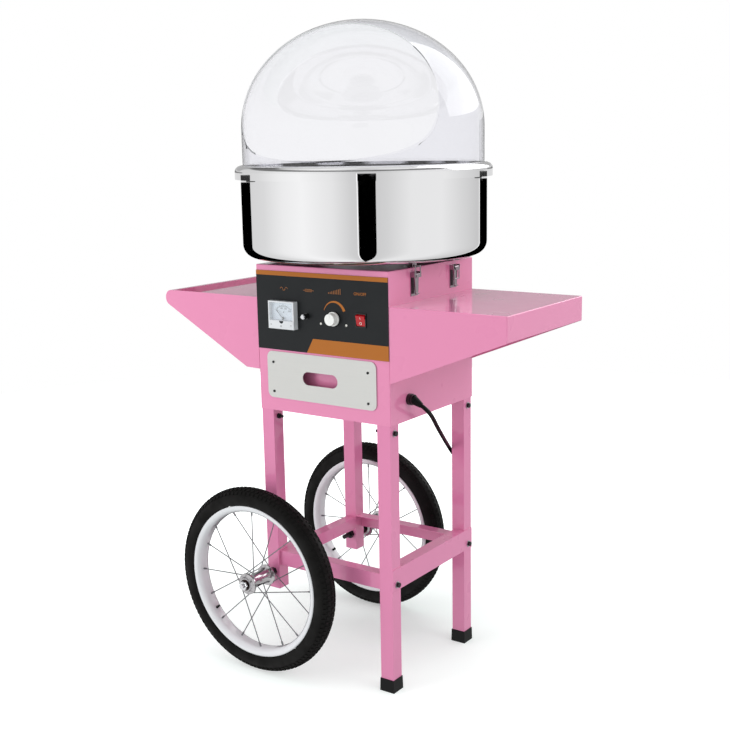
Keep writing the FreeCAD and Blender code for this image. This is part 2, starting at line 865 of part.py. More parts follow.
def meter():
    """The meter's case, open over the dial, and its needle."""
    front = "-meter_front"
    case = box(("meter_left", "meter_right"), (front, "-cab_y - sheet"), ("meter_low", "meter_high"))
    centre = ("(meter_left + meter_right) / 2", "(meter_low + meter_high) / 2")
    drum = rod("y", "23.5", "-cab_y - sheet", "-cab_y + 30", centre)
    across, upright = ("meter_left + 3", "meter_right - 3"), ("needle_z - 4", "meter_high - 3")
    dial = box(across, (f"{front} - 1", f"{front} + 8"), upright)
    pivot = rod("y", "1", f"{front} + 2", f"{front} + 9", ("needle_x", "needle_z"))
    keep(join(cut(join(case, drum), dial), pivot), "meter_case")
    boss = rod("y", "2.6", f"{front} + 4", f"{front} + 5.5", ("needle_x", "needle_z"))
    blade = doc.addObject("Part::Box", "Blade")
    for name, text in (("Length", "0.9"), ("Width", "0.6"), ("Height", "25")):
        bind(blade, name, text)
    put(blade, "needle_x - 0.3", f"{front} + 4.4", "needle_z - 0.3", turn=(V(0, 1, 0), -45))
    bore = rod("y", "1.05", f"{front} + 3", f"{front} + 7", ("needle_x", "needle_z"))
    keep(cut(join(boss, blade), bore), "meter_needle")


def fuse_holder():
    """A black post with a bright cap."""
    place = ("fuse_x", "fuse_z")
    pieces = [
        rod("y", "6.5", "-cab_y - sheet - 2", "-cab_y - sheet", place),
        rod("y", "4.8", "-cab_y - sheet - 13", "-cab_y - sheet - 2", place),
        rod("y", "4", "-cab_y - sheet - 15", "-cab_y - sheet - 13", place),
        rod("y", "4.1", "-cab_y - sheet", "-cab_y + 24", place),
    ]
    keep(join(*pieces), "fuse_holder")


def heat_control():
    """The regulator behind the panel, with the bush that the knob's spindle turns in."""
    deep = ("-cab_y + 7", "-cab_y + 28")
    block = box(("knob_x - 19", "knob_x + 19"), deep, ("knob_z - 19", "knob_z + 19"))
    bush = rod("y", "5", "-cab_y - sheet - 2", "-cab_y + 7", ("knob_x", "knob_z"))
    bore = rod("y", "3 + play", "-cab_y - sheet - 3", "-cab_y + 20", ("knob_x", "knob_z"))
    keep(cut(join(block, bush), bore), "heat_control")


def power_knob():
    """A round knob with a fluted skirt and a raised pointer, on its spindle."""
    back, front = "-cab_y - sheet - 2.5", "-cab_y - sheet - 16.5"
    skirt = rod("y", "knob_r", f"{back} - 3", back, ("knob_x", "knob_z"))
    grip = cone("y", "knob_r - 2.6", "knob_r - 1.6", front, f"{back} - 3", ("knob_x", "knob_z"))
    raised = (f"{front} - 0.6", front)
    pointer = box(("knob_x - 0.8", "knob_x + 0.8"), raised, ("knob_z + 2", "knob_z + knob_r - 3.2"))
    spindle = rod("y", "3", back, "-cab_y + 18", ("knob_x", "knob_z"))
    flutes = []
    for index in range(18):
        angle = f"{20 * index + 10} deg"
        place = (f"knob_x + (knob_r - 1.1) * cos({angle})", f"knob_z + (knob_r - 1.1) * sin({angle})")
        flutes.append(rod("y", "0.9", f"{front} - 1", f"{back} - 3", place))
    keep(join(cut(join(skirt, grip), *flutes), pointer, spindle), "power_knob")


def switch():
    """The switch's housing, and its rocker, tipped to the off side."""
    face = "-cab_y - sheet"

    def block(half_x, half_z, y):
        wide = (f"switch_x - {half_x}", f"switch_x + {half_x}")
        return box(wide, y, (f"switch_z - {half_z}", f"switch_z + {half_z}"))

    bezel = block(12.4, 13.9, (f"{face} - 2", face))
    case = block(11.6, 12.8, (face, "-cab_y + 20"))
    well = block(10.8, 12, (f"{face} - 3", "-cab_y + 8"))
    keep(cut(join(bezel, case), well), "switch_body")
    rocker = body("switch_rocker")
    outline = [
        ("-7.6", "8.8"),
        ("-4.9", "-0.4"),
        ("-3.2", "-11.2"),
        ("2", "-11.3"),
        ("2", "11.3"),
        ("-3.2", "11.2"),
    ]
    extrude(rocker, "Pad", sketch(rocker, "YZ_Plane", outline), "20.8", "Symmetric")
    put(rocker, "switch_x", "-cab_y + 1", "switch_z")


# Drawer


def drawer_box():
    """An open tray. Its front wall is set back, which leaves room for fingers behind the front plate."""
    wall, floor = "1.2", "drawer_low + 1.2"
    left, right = "drawer_x - drawer_half", "drawer_x + drawer_half"
    front, set_back = "-cab_y - 0.3", "-cab_y + 22"
    shell = box((left, right), (front, "drawer_back"), ("drawer_low", "drawer_high"))
    across = (f"{left} + {wall}", f"{right} - {wall}")
    hold = box(across, (set_back, f"drawer_back - {wall}"), (floor, "drawer_high + 1"))
    fingers = box(across, (f"{front} - 1", f"{set_back} - {wall}"), (floor, "drawer_high + 1"))
    tabs = []
    for x in ((f"{left} + {wall}", f"{left} + 16"), (f"{right} - 16", f"{right} - {wall}")):
        for z in ((floor, f"{floor} + 12"), ("drawer_high - 20", "drawer_high - 4")):
            tabs.append(box(x, (front, f"{front} + {wall}"), z))
    keep(join(cut(shell, hold, fingers), *tabs), "drawer_box")


def drawer_front():
    """A satin steel plate with round corners, a finger slot and four screws."""
    plate = body("drawer_plate")
    parts.remove(plate)
    middle_z, half_z = "(front_low + front_high) / 2", "(front_high - front_low) / 2"
    block = extrude(plate, "Pad", sketch(plate, "XZ_Plane", rectangle("front_half", half_z)), "2")
    wide, high = size("front_half"), size(half_z)

    def at_corner(place):
        return near(abs(place.x), wide) and near(abs(place.z), high)

    rounded(plate, block, "front_round", at_corner)
    put(plate, "drawer_x", "-cab_y - 0.3", middle_z)
    through = ("-cab_y - 4", "-cab_y")
    low, high = "-45.5 + drawer_x + 1", "45.5 + drawer_x - 3"
    slot_z = "631.5"
    slot = join(
        box((f"{low} + 13.5", f"{high} - 13.5"), through, (f"{slot_z} - 13.5", f"{slot_z} + 13.5")),
        rod("y", "13.5", *through, (f"{low} + 13.5", slot_z)),
        rod("y", "13.5", *through, (f"{high} - 13.5", slot_z)),
    )
    heads = []
    for x in ("-123", "112.5"):
        for z in ("658", "597"):
            heads.append(rod("y", "2.6", "-cab_y - 3.4", "-cab_y - 2.3", (x, z)))
    keep(join(cut(plate, slot), *heads), "drawer_front")


def drawer_runners():
    """Two angle rails on the sides of the cabinet, under the edges of the drawer."""
    rails = []
    for side in (-1, 1):
        wall = (f"{side} * (cab_x - sheet)", f"{side} * (cab_x - sheet - 1.5)")
        sole = (f"{side} * (cab_x - sheet)", f"{side} * 115")
        nut = (f"{side} * cab_x", f"{side} * (cab_x - 9)")
        along = ("-cab_y + 8", "100")
        upright = box(sorted(wall, key=size), along, ("drawer_low - 1.8", "drawer_low + 20"))
        ledge = box(sorted(sole, key=size), along, ("drawer_low - 1.8", "drawer_low - 0.3"))
        room = ("inlet_y - 13", "inlet_y + 13")
        notch = box(sorted(nut, key=size), room, ("drawer_low - 2", "drawer_low + 21"))
        rails.append(cut(join(upright, ledge), notch))
    keep(group(*rails), "drawer_runners")


# Spring latches


LATCHES = {
    "front_right": (1, "-69"),
    "rear_right": (1, "78"),
    "front_left": (-1, "-69"),
    "rear_left": (-1, "78"),
}
FOLDED = "rear_right"


def out(side, text):
    """A place measured outwards from the side of the cabinet."""
    return f"{side} * (cab_x + {text})"


def slab(side, depth, y, z):
    """A box whose X limits are measured outwards from the side of the cabinet."""
    return box(sorted((out(side, depth[0]), out(side, depth[1])), key=size), y, z)


def latch_plates():
    """Base plates with two ears and the pin between them."""
    plates = []
    for side, y in LATCHES.values():
        pieces = [slab(side, ("0", "1.5"), (f"{y} - 12.5", f"{y} + 12.5"), ("801", "pin_z + 5"))]
        for start, end in (("-12.5", "-11"), ("11", "12.5")):
            ear = (f"{y} + {start}", f"{y} + {end}")
            pieces.append(slab(side, ("1.5", "9.5"), ear, ("pin_z - 5", "pin_z + 5")))
        pieces.append(rod("y", "pin_r", f"{y} - 12.5", f"{y} + 12.5", (out(side, "pin_out"), "pin_z")))
        plates.append(join(*pieces))
    keep(group(*plates), "latch_plates")


def latch_lever(corner):
    """A tapered lever on the pin, with a cross bore for the bail."""
    side, y = LATCHES[corner]
    along = (f"{y} - lever_half", f"{y} + lever_half")
    barrel = rod("y", "4", *along, (out(side, "pin_out"), "pin_z"))
    lug = slab(side, ("pin_out", "pin_out + link + 2.3"), along, ("pin_z - link - 2.3", "pin_z - 0.5"))
    blade = doc.addObject("Part::Wedge", "Blade")
    for name, text in (
        ("Xmin", "0"),
        ("Xmax", "2"),
        ("Ymin", "0"),
        ("Ymax", "37"),
        ("Zmin", "3"),
        ("Zmax", "2 * lever_half - 3"),
        ("X2min", "0"),
        ("X2max", "2"),
        ("Z2min", "0"),
        ("Z2max", "2 * lever_half"),
    ):
        bind(blade, name, text)
    face = out(side, "pin_out - 1" if side > 0 else "pin_out + 1")
    put(blade, face, f"{y} + lever_half", "pin_z - 37", turn=(V(1, 0, 0), 90))
    finger = (f"{y} - 4.5", f"{y} + 4.5")
    tab = slab(side, ("pin_out - 1", "pin_out + 4"), finger, ("pin_z - 38.5", "pin_z - 36.5"))
    bores = [
        rod("y", "pin_r + play", f"{y} - 20", f"{y} + 20", (out(side, "pin_out"), "pin_z")),
        rod("y", "wire_r + play", f"{y} - 20", f"{y} + 20", (out(side, "pin_out + link"), "pin_z - link")),
    ]
    keep(cut(join(barrel, lug, blade, tab), *bores), "latch_lever_" + corner)


def latch_bail(corner):
    """A wire loop from the lever to the catch on the bowl. The folded one hangs down over its lever."""
    side, y = LATCHES[corner]
    x = size(out(side, "pin_out + link"))
    low, mid = size("pin_z - link"), size(y)
    high = size("catch_foot + 1.2 + play + wire_r")
    far = low - (high - low) if corner == FOLDED else high
    half, radius = size("bail_y"), size("wire_r")
    corners = [V(x, mid - half, low), V(x, mid + half, low), V(x, mid + half, far), V(x, mid - half, far)]
    loop = Part.makeSphere(radius, corners[0])
    for start, end in zip(corners, corners[1:] + corners[:1]):
        loop = loop.fuse(Part.makeCylinder(radius, (end - start).Length, start, end - start))
        loop = loop.fuse(Part.makeSphere(radius, end))
    shaped("latch_bail_" + corner, loop)


def bowl_catches():
    """Angle brackets under the bowl. Each has a foot that a bail pulls down on."""
    brackets = []
    for side, y in LATCHES.values():
        along = (f"{y} - 6.5", f"{y} + 6.5")
        brackets.append(
            join(
                slab(side, ("-18", "2.5"), along, ("bowl_low - 1.2", "bowl_low")),
                slab(side, ("1.3", "2.5"), along, ("catch_foot", "bowl_low")),
                slab(side, ("1.3", "pin_out + link + 2"), along, ("catch_foot", "catch_foot + 1.2")),
            )
        )
    keep(group(*brackets), "bowl_catches")


# Mains cord


# The way that the rubber boot of the gland points, down and away from the cabinet
BOOT = V(0.866, 0.05, -0.4975)
BOOT_LONG = 10


def cord_inlet():
    """A cable gland through the side of the cabinet, with a tapered boot that bends with the cord."""
    place = ("inlet_y", "inlet_z")
    boot = doc.addObject("Part::Cone", "Boot")
    for name, text in (("Radius1", "9.4"), ("Radius2", "cord_r + 1.3"), ("Height", BOOT_LONG)):
        bind(boot, name, text)
    put(boot, "cab_x + inlet_out", *place, turn=(V(0, 0, 1), BOOT))
    pieces = [
        rod("x", "11.5", "cab_x", "cab_x + 8", place),
        rod("x", "10.3", "cab_x + 8", "cab_x + inlet_out + 2", place),
        rod("x", "7.9", "cab_x - sheet", "cab_x", place),
        rod("x", "11.5", "cab_x - sheet - 6", "cab_x - sheet", place),
        boot,
    ]
    keep(join(*pieces), "cord_inlet")


# Along the sight line behind the rear right leg, and across it
AWAY = V(-0.507, 0.862, 0)
ASIDE = V(0.862, 0.507, 0)


def behind_leg(away, aside, z):
    """A place behind the rear right leg."""
    return V(size("leg_x"), size("leg_y"), 0) + AWAY * away + ASIDE * aside + V(0, 0, z)


def tube(points, radius):
    """A tube of straight runs joined by tangent arcs, as large as the two runs at each point allow."""
    edges, at = [], points[0]
    for before, corner, after in zip(points, points[1:], points[2:]):
        coming, going = (corner - before), (after - corner)
        turn = coming.getAngle(going)
        reach = 0.45 * min(coming.Length, going.Length)
        bend = reach / math.tan(turn / 2)
        print(f"cord bend of radius {bend:.1f} at ({corner.x:.0f}, {corner.y:.0f}, {corner.z:.0f})")
        coming.normalize()
        going.normalize()
        start, end = corner - coming * reach, corner + going * reach
        inward = (going - coming).normalize()
        crown = corner + inward * (bend / math.cos(turn / 2) - bend)
        edges.append(Part.LineSegment(at, start).toShape())
        edges.append(Part.Arc(start, crown, end).toShape())
        at = end
    edges.append(Part.LineSegment(at, points[-1]).toShape())
    path = Part.Wire(edges)
    section = Part.Wire(Part.Circle(points[0], points[1] - points[0], radius).toShape())
    solid = path.makePipeShell([section], True, False)
    full = math.pi * radius**2 * path.Length
    print(f"cord tube {path.Length:.0f} long, volume {solid.Volume / full:.4f} of section times length")
    return solid


# How far behind the leg the tail hangs
TAIL_AWAY = "hank_away + hank_wide / 2 - cord_r - 3"


def cord_route():
    """From the boot, under the cabinet's edge and past the inside of the rear right leg to the hank."""
    start = V(size("cab_x + inlet_out"), size("inlet_y"), size("inlet_z")) + BOOT * BOOT_LONG
    return [
        start,
        start + BOOT * 9.7,
        V(197, -85, 582),
        V(200, -74, 571),
        V(189, -45, 554),
        V(170, 3, 522),
        V(145, 69, 480),
        V(123, 127, 444),
        V(106, 171, 418),
        behind_leg(size("hank_away"), -4, size("hank_mid + hank_high / 2 - cord_r")),
    ]


def mains_cord():
    """The free stretch to the hank, and the short tail from the hank to the plug."""
    radius = size("cord_r")
    run = tube(cord_route(), radius)
    tail_at = behind_leg(size(TAIL_AWAY), radius, 0)
    tail_low = size("hank_mid - hank_high / 2 - 16")
    tail_high = size("hank_mid")
    tail = Part.makeCylinder(radius, tail_high - tail_low, tail_at + V(0, 0, tail_low))
    hank = hank_shape()
    shaped("mains_cord", Part.makeCompound([run.cut(hank).Solids[0], tail.cut(hank).Solids[0]]))


def stadium(wide, high):
    """A face with round ends, upright, centred on the origin in the XZ plane."""
    end, reach = wide / 2, high / 2 - wide / 2
    edges = [
        Part.LineSegment(V(end, 0, -reach), V(end, 0, reach)).toShape(),
        Part.Arc(V(end, 0, reach), V(0, 0, high / 2), V(-end, 0, reach)).toShape(),
        Part.LineSegment(V(-end, 0, reach), V(-end, 0, -reach)).toShape(),
        Part.Arc(V(-end, 0, -reach), V(0, 0, -high / 2), V(end, 0, -reach)).toShape(),
    ]
    return Part.Face(Part.Wire(edges))


def hank_shape():
    """The outer shape of four long turns of cord, two wide and two deep."""
    wide, high, thick = size("hank_wide"), size("hank_high"), size("hank_thick")
    bundle = 4 * size("cord_r")
    ring_face = stadium(wide, high).cut(stadium(wide - 2 * bundle, high - 2 * bundle))
    solid = ring_face.extrude(V(0, thick, 0)).Solids[0]
    solid.translate(V(0, -thick / 2, 0))
    return stood(solid)


def stood(solid):
    """Turns a solid so that its X runs away along the sight line, and sets it in the middle of the hank."""
    turned = FreeCAD.Rotation(AWAY, -ASIDE, V(0, 0, 1), "ZXY")
    centre = behind_leg(size("hank_away"), 0, size("hank_mid"))
    solid.Placement = FreeCAD.Placement(centre, turned).multiply(solid.Placement)
    return solid


def cord_hank():
    shaped("cord_hank", hank_shape())


def cord_strap():
    """A strap round the middle of the hank, held by a lug on the back of the leg."""
    wide, thick, band = size("hank_wide") + 0.4, size("hank_thick") + 0.4, 1.5
    outer = Part.makeBox(wide + 2 * band, thick + 2 * band, 20, V(-wide / 2 - band, -thick / 2 - band, -10))
    inner = Part.makeBox(wide, thick, 22, V(-wide / 2, -thick / 2, -11))
    loop = stood(outer.cut(inner))
    leg_back = size("leg_y + leg / 2")
    lug = Part.makeBox(22, 4.2, 20, V(size("leg_x - leg / 2"), leg_back, size("hank_mid") - 10))
    solid_inner = stood(inner)
    shaped("cord_strap", loop.fuse(lug.cut(solid_inner)).removeSplitter())


def plug():
    """A moulded plug with two blades and an earth pin, hanging under the hank."""
    top = size("hank_mid - hank_high / 2 - 16")
    neck = Part.makeCone(8, 5.4, 22, V(0, 0, -22))
    block = Part.makeBox(26, 20, 34, V(-13, -10, -56))
    block = block.makeFillet(3, block.Edges)
    blades = [Part.makeBox(6.3, 1.5, 18, V(-3.15, y - 0.75, -73)) for y in (-6.35, 6.35)]
    pin = Part.makeCylinder(2.4, 19, V(-9.4, 0, -74))
    solid = neck.fuse([block, *blades, pin]).removeSplitter()
    turned = FreeCAD.Rotation(AWAY, -ASIDE, V(0, 0, 1), "ZXY")
    place = behind_leg(size(TAIL_AWAY), size("cord_r"), top)
    solid.Placement = FreeCAD.Placement(place, turned)
    shaped("plug", solid)


def build():
    cabinet_shell()
    cabinet_floor()
    back_cover()
    cabinet_screws()
    right_shelf()
    left_tray()
    for corner in CORNERS:
        leg(corner)
    cross_stretchers()
    side_stretchers()
    rubber_feet()
    frame_bolts()
    for name, side in (("front", -1), ("rear", 1)):
        wheel(name, side)
        axle(name, side)
    bowl()
    bowl_rim()
    dome()
    bearing_housing()
    motor()
    motor_bracket()
    drive_shaft()
    spinner_head()
    heating_ring()
    control_panel()
    meter()
    fuse_holder()
    heat_control()
    power_knob()
    switch()
    drawer_box()
    drawer_front()
    drawer_runners()
    latch_plates()
    for corner in LATCHES:
        latch_lever(corner)
        latch_bail(corner)
    bowl_catches()
    cord_inlet()
    mains_cord()
    cord_hank()
    cord_strap()
    plug()


def write():
    doc.recompute()
    for item in doc.Objects:
        if "Invalid" in item.State or "Error" in item.State:
            raise RuntimeError(f"{item.Label} failed: {item.State}")
    labels = [item.Label for item in parts]
    if len(set(labels)) != len(labels):
        raise RuntimeError("two sub-parts share a name")
    for item in parts:
        shape = item.Shape
        if shape.isNull() or not shape.isValid() or not shape.Solids:
            raise RuntimeError(f"{item.Label} has no valid solid")
    os.makedirs("parts", exist_ok=True)
    for item in parts:
        item.Shape.exportStep(f"parts/{item.Label}.step")
    print(f"{len(parts)} sub-parts written")


build()
write()
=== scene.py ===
# %% [markdown]
# # A cotton candy machine on a two-wheeled cart
# A motor spins a heated head inside a polished steel bowl. A clear dome keeps the floss in, and an oval
# mouth in the dome lets a hand and a stick reach it. The solids of the machine are already made, so this
# lesson adds what solids can't show: smooth curves, cord, print and the finish of each surface.
# We start by loading those solids, because every piece rides on one of their bodies.

# %% The frame
import json
import math

import bmesh
import bpy
from mathutils import Matrix, Vector


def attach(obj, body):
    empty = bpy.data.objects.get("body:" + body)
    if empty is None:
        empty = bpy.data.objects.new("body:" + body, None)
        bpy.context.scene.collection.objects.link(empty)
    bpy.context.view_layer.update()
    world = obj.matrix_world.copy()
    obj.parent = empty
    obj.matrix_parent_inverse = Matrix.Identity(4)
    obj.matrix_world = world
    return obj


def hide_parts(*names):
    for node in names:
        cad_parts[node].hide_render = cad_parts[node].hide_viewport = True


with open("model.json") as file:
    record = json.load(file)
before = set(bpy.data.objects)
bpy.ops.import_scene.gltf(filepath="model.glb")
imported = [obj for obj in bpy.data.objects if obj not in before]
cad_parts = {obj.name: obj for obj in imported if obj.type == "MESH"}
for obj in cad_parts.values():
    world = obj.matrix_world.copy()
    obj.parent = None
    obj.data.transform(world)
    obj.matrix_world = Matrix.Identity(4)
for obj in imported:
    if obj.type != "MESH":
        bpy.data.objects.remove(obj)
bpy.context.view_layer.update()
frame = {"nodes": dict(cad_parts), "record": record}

# %% [markdown]
# ## Camera
# A product picture is taken from standing height with a long lens. The camera is placed by its three axes,
# which make the columns of its matrix. A small shift slides the picture without turning the camera.

# %% Camera
scene = bpy.context.scene
AIM = Vector((-0.5568, 0.8057, -0.2020)).normalized()
LEVEL = Vector((0.8226, 0.5687, 0.0)).normalized()
UPWARD = LEVEL.cross(AIM)
ROLL = -0.017
EYE = (1.36457, -1.93373, 1.09539)

lens = bpy.data.cameras.new("camera")
lens.sensor_width = 36.0
lens.lens = 56.56
lens.shift_x = -0.0187
lens.shift_y = 0.0181
camera = bpy.data.objects.new("camera", lens)
scene.collection.objects.link(camera)
scene.camera = camera
right = LEVEL * math.cos(ROLL) + UPWARD * math.sin(ROLL)
top = UPWARD * math.cos(ROLL) - LEVEL * math.sin(ROLL)
turned = Matrix((right, top, -AIM)).transposed().to_4x4()
camera.matrix_world = Matrix.Translation(EYE) @ turned
print("camera looks along", [round(part, 3) for part in AIM])

# %% [markdown]
# ## Colours and nodes
# Designers write colours as sRGB hex values, and a renderer adds light in linear values, so one function
# turns the first into the second. Another adds a node and links it, which keeps each material short.

# %% Colour and node helpers
def colour(code):
    """Turns a hex colour such as EE88BB into linear red, green, blue and alpha."""
    parts = [int(code[i : i + 2], 16) / 255 for i in (0, 2, 4)]
    return tuple(c / 12.92 if c <= 0.04045 else ((c + 0.055) / 1.055) ** 2.4 for c in parts) + (1.0,)


def add_node(tree, kind, sockets=None, **settings):
    """Adds a node, sets it up, and fills its sockets with numbers, colours or links."""
    made = tree.nodes.new("ShaderNode" + kind)
    for name, value in settings.items():
        setattr(made, name, value)
    for name, value in (sockets or {}).items():
        if isinstance(value, bpy.types.NodeSocket):
            tree.links.new(value, made.inputs[name])
        else:
            made.inputs[name].default_value = value
    return made


def new_material(name, code, roughness, **sockets):
    """A material with one Principled shader. Returns the material, its tree and the shader."""
    made = bpy.data.materials.new(name)
    made.use_nodes = True
    shader = made.node_tree.nodes["Principled BSDF"]
    shader.inputs["Base Color"].default_value = colour(code)
    shader.inputs["Roughness"].default_value = roughness
    for socket, value in sockets.items():
        shader.inputs[socket.replace("_", " ")].default_value = value
    return made, made.node_tree, shader


def noise(tree, millimetres, detail=2.0, stretch=(1, 1, 1)):
    """Noise whose grains are about so many millimetres wide. A stretch of 0.02 draws them out 50 times."""
    place = add_node(tree, "TexCoord").outputs["Object"]
    drawn = add_node(tree, "Mapping", {"Vector": place, "Scale": stretch}).outputs["Vector"]
    grains = add_node(tree, "TexNoise", {"Vector": drawn, "Scale": 1000 / millimetres, "Detail": detail})
    return grains.outputs["Fac"]


def spread(tree, value, low, high):
    """Moves a value from its middle range into the range from low to high."""
    limits = {"Value": value, "From Min": 0.3, "From Max": 0.7, "To Min": low, "To Max": high}
    return add_node(tree, "MapRange", limits).outputs["Result"]


def mottle(tree, shader, grains, low, high):
    """Lets a finish be a little smoother here and duller there."""
    tree.links.new(spread(tree, grains, low, high), shader.inputs["Roughness"])


def roughen(tree, shader, height, depth, strength=1.0):
    """Bumps a surface by a height map, with a depth in millimetres."""
    bump = add_node(tree, "Bump", {"Height": height, "Distance": depth / 1000, "Strength": strength})
    tree.links.new(bump.outputs["Normal"], shader.inputs["Normal"])


print("pink", [round(part, 3) for part in colour("EE88BB")])

# %% [markdown]
# ## Painted steel
# The cabinet, wings and cart are mild steel sheet and tube with a gloss powder coat. Powder melts into a
# skin with a faint orange peel, about 2 mm from crest to crest. It is drawn at 4 mm so that it shows.

# %% Powder coats
def powder_coat(name, code):
    """A coloured skin under its own clear gloss, with orange peel."""
    roughness = 0.3
    made, tree, shader = new_material(
        name, code, roughness, Coat_Weight=1.0, Coat_Roughness=0.035, Specular_IOR_Level=0.15
    )
    peel = noise(tree, 4.0)
    roughen(tree, shader, peel, 0.03, 0.35)
    mottle(tree, shader, noise(tree, 60), roughness - 0.04, roughness + 0.05)
    return made


pink_coat = powder_coat("powder_coated_steel_pink", "E78BB4")
# The cart's tubes take the cabinet's pink drawn a little darker, as painted shade on the lower parts.
tube_pink_painted_shade = powder_coat("powder_coat_tube_pink_painted_shade", "E285B0")
rim_coat = powder_coat("enamelled_rim_white", "E6E6EA")
print("three powder coats")

# %% [markdown]
# ## Metals
# The bowl is 304 stainless steel, buffed to a mirror after spinning. Its underside keeps the dull mill
# finish, drawn darker than bare steel as painted shade, and its rolled edge a softer shine. The ledge inside
# that edge has painted reflections: dark and light streaks in its colour. Hubs are chrome plated and latches
# nickel plated, drawn darker and pinker as a painted reflection of the pink cabinet. Spokes are drawn
# stainless wire, nuts and bolts are zinc plated black or clear, and the drawer's face is brushed. A metal's
# look is all in its colour and the way that it scatters reflections.

# %% Metal finishes
mirror_steel, tree, shader = new_material("stainless_steel_mirror_buffed", "F4F4F5", 0.02, Metallic=1.0)
streaks = noise(tree, 14, 1.0, (1, 1, 0.02))
mottle(tree, shader, streaks, 0.008, 0.025)

bright_plate, tree, shader = new_material("chrome_plate_bright", "E6E7EA", 0.12, Metallic=1.0)
mottle(tree, shader, noise(tree, 6), 0.08, 0.2)

hub_plate, tree, shader = new_material("chrome_plate_hub", "BFBDBF", 0.12, Metallic=1.0)
mottle(tree, shader, noise(tree, 5), 0.08, 0.2)

# Nickel plate drawn darker and pinker than the metal is: a painted reflection of the pink cabinet and a dark
# room.
plate_nickel_painted_reflection, tree, shader = new_material("nickel_plated_painted_pink_reflection", "A1949B", 0.14, Metallic=1.0)
mottle(tree, shader, noise(tree, 4), 0.12, 0.26)

# Mill finish drawn much darker than bare steel: the cabinet top mirrors it as painted shade under the bowl.
mill_finish_and_shade_steel, tree, shader = new_material("stainless_steel_dull_mill_and_painted_shade", "827E80", 0.4, Metallic=1.0)
mottle(tree, shader, noise(tree, 15), 0.35, 0.5)

rolled_steel, tree, shader = new_material("stainless_steel_rolled_edge", "F0F0F1", 0.12, Metallic=1.0)
mottle(tree, shader, noise(tree, 10), 0.1, 0.16)

# The ledge's colour swings from near black to near white along drawn-out grains: painted reflections, not
# streaks in the steel.
ledge_steel_painted_reflections, tree, shader = new_material("stainless_steel_ledge_painted_reflections", "808184", 0.2, Metallic=1.0)
streaks = noise(tree, 90, 1.0, (1, 1, 0.02))
mottle(tree, shader, streaks, 0.1, 0.3)
shade = add_node(tree, "ValToRGB", {"Fac": streaks})
for stop, place, code in zip(shade.color_ramp.elements, (0.48, 0.62), ("222224", "E4E4E6")):
    stop.position = place
    stop.color = colour(code)
tree.links.new(shade.outputs["Color"], shader.inputs["Base Color"])

spoke_wire, tree, shader = new_material("stainless_steel_drawn_wire", "8E8F92", 0.3, Metallic=1.0)
mottle(tree, shader, noise(tree, 12), 0.24, 0.4)

brushed_steel, tree, shader = new_material("stainless_steel_brushed", "D8D8D5", 0.34, Metallic=0.75)
lines = noise(tree, 1.2, 3.0, (0.02, 1, 1))
mottle(tree, shader, lines, 0.28, 0.44)
roughen(tree, shader, lines, 0.02, 0.4)

clear_zinc, tree, shader = new_material("zinc_plate_clear", "B9BBBD", 0.35, Metallic=1.0)
mottle(tree, shader, noise(tree, 9), 0.28, 0.5)

black_zinc, tree, shader = new_material("zinc_plate_black", "17171A", 0.35, Metallic=0.3)
mottle(tree, shader, noise(tree, 3), 0.28, 0.45)

cast_alloy, tree, shader = new_material("aluminium_turned_casting", "C6C7C9", 0.4, Metallic=1.0)
roughen(tree, shader, noise(tree, 1.5, 4.0), 0.05, 0.4)
print("twelve metals")

# %% [markdown]
# ## Rubber and plastics
# Tyres and feet are black natural rubber with soot in it, dull and a little grey. The cord's jacket is
# smooth PVC. Knob, switch and meter are moulded ABS and acrylic, glossy with faint flow marks.

# %% Rubber and plastic finishes
tyre_rubber, tree, shader = new_material("natural_rubber_tyre", "090807", 0.5, Specular_IOR_Level=0.2)
roughen(tree, shader, noise(tree, 1.6, 3.0), 0.25, 0.6)
mottle(tree, shader, noise(tree, 25), 0.5, 0.75)

black_rubber, tree, shader = new_material("moulded_rubber_black", "0A0A0B", 0.5, Specular_IOR_Level=0.2)
roughen(tree, shader, noise(tree, 1.2), 0.08, 0.5)

cord_jacket, tree, shader = new_material("pvc_cord_jacket_black", "070808", 0.3, Specular_IOR_Level=0.15)
roughen(tree, shader, noise(tree, 5.0), 0.1, 0.3)


def moulded(name, code, roughness):
    """A moulded plastic, with faint flow marks in its gloss."""
    made, tree, shader = new_material(name, code, roughness, IOR=1.5)
    mottle(tree, shader, noise(tree, 8), roughness - 0.04, roughness + 0.05)
    return made


black_abs = moulded("abs_gloss_black", "131314", 0.22)
white_abs = moulded("abs_gloss_white", "F1F1EF", 0.25)
# The hubs' sunk ends are drawn dark brown.
sunk_end_brown = moulded("hub_sunk_end_dark_brown", "2B1512", 0.4)
red_abs = moulded("polycarbonate_rocker_red", "B5121D", 0.14)
meter_acrylic = moulded("acrylic_meter_case", "DEE0E4", 0.1)
meter_glass, tree, shader = new_material("acrylic_meter_window", "F2F5F8", 0.05, Alpha=0.15, IOR=1.49)
mottle(tree, shader, noise(tree, 20), 0.03, 0.08)
print("rubber and plastics")

# %% [markdown]
# ## Clear acrylic
# The dome is acrylic, blown from one 3 mm sheet. Real thickness and a refracting shader are all it needs:
# each wall takes a little light away, and grazing angles mirror the room. The mouth's edge is frosted by the
# saw above, and flame polished below where hands pass, so there it bends almost no light.

# %% Clear plastic
clear_acrylic, tree, shader = new_material(
    "acrylic_dome_clear", "F4F4F7", 0.0, Transmission_Weight=1.0, IOR=1.49, Specular_IOR_Level=0.3
)
wipe_marks = noise(tree, 90, 2.0)
mottle(tree, shader, wipe_marks, 0.0, 0.012)

sawn_acrylic, tree, shader = new_material("acrylic_sawn_edge", "F6F6F8", 0.5, Specular_IOR_Level=0.3)
mottle(tree, shader, noise(tree, 2), 0.4, 0.6)

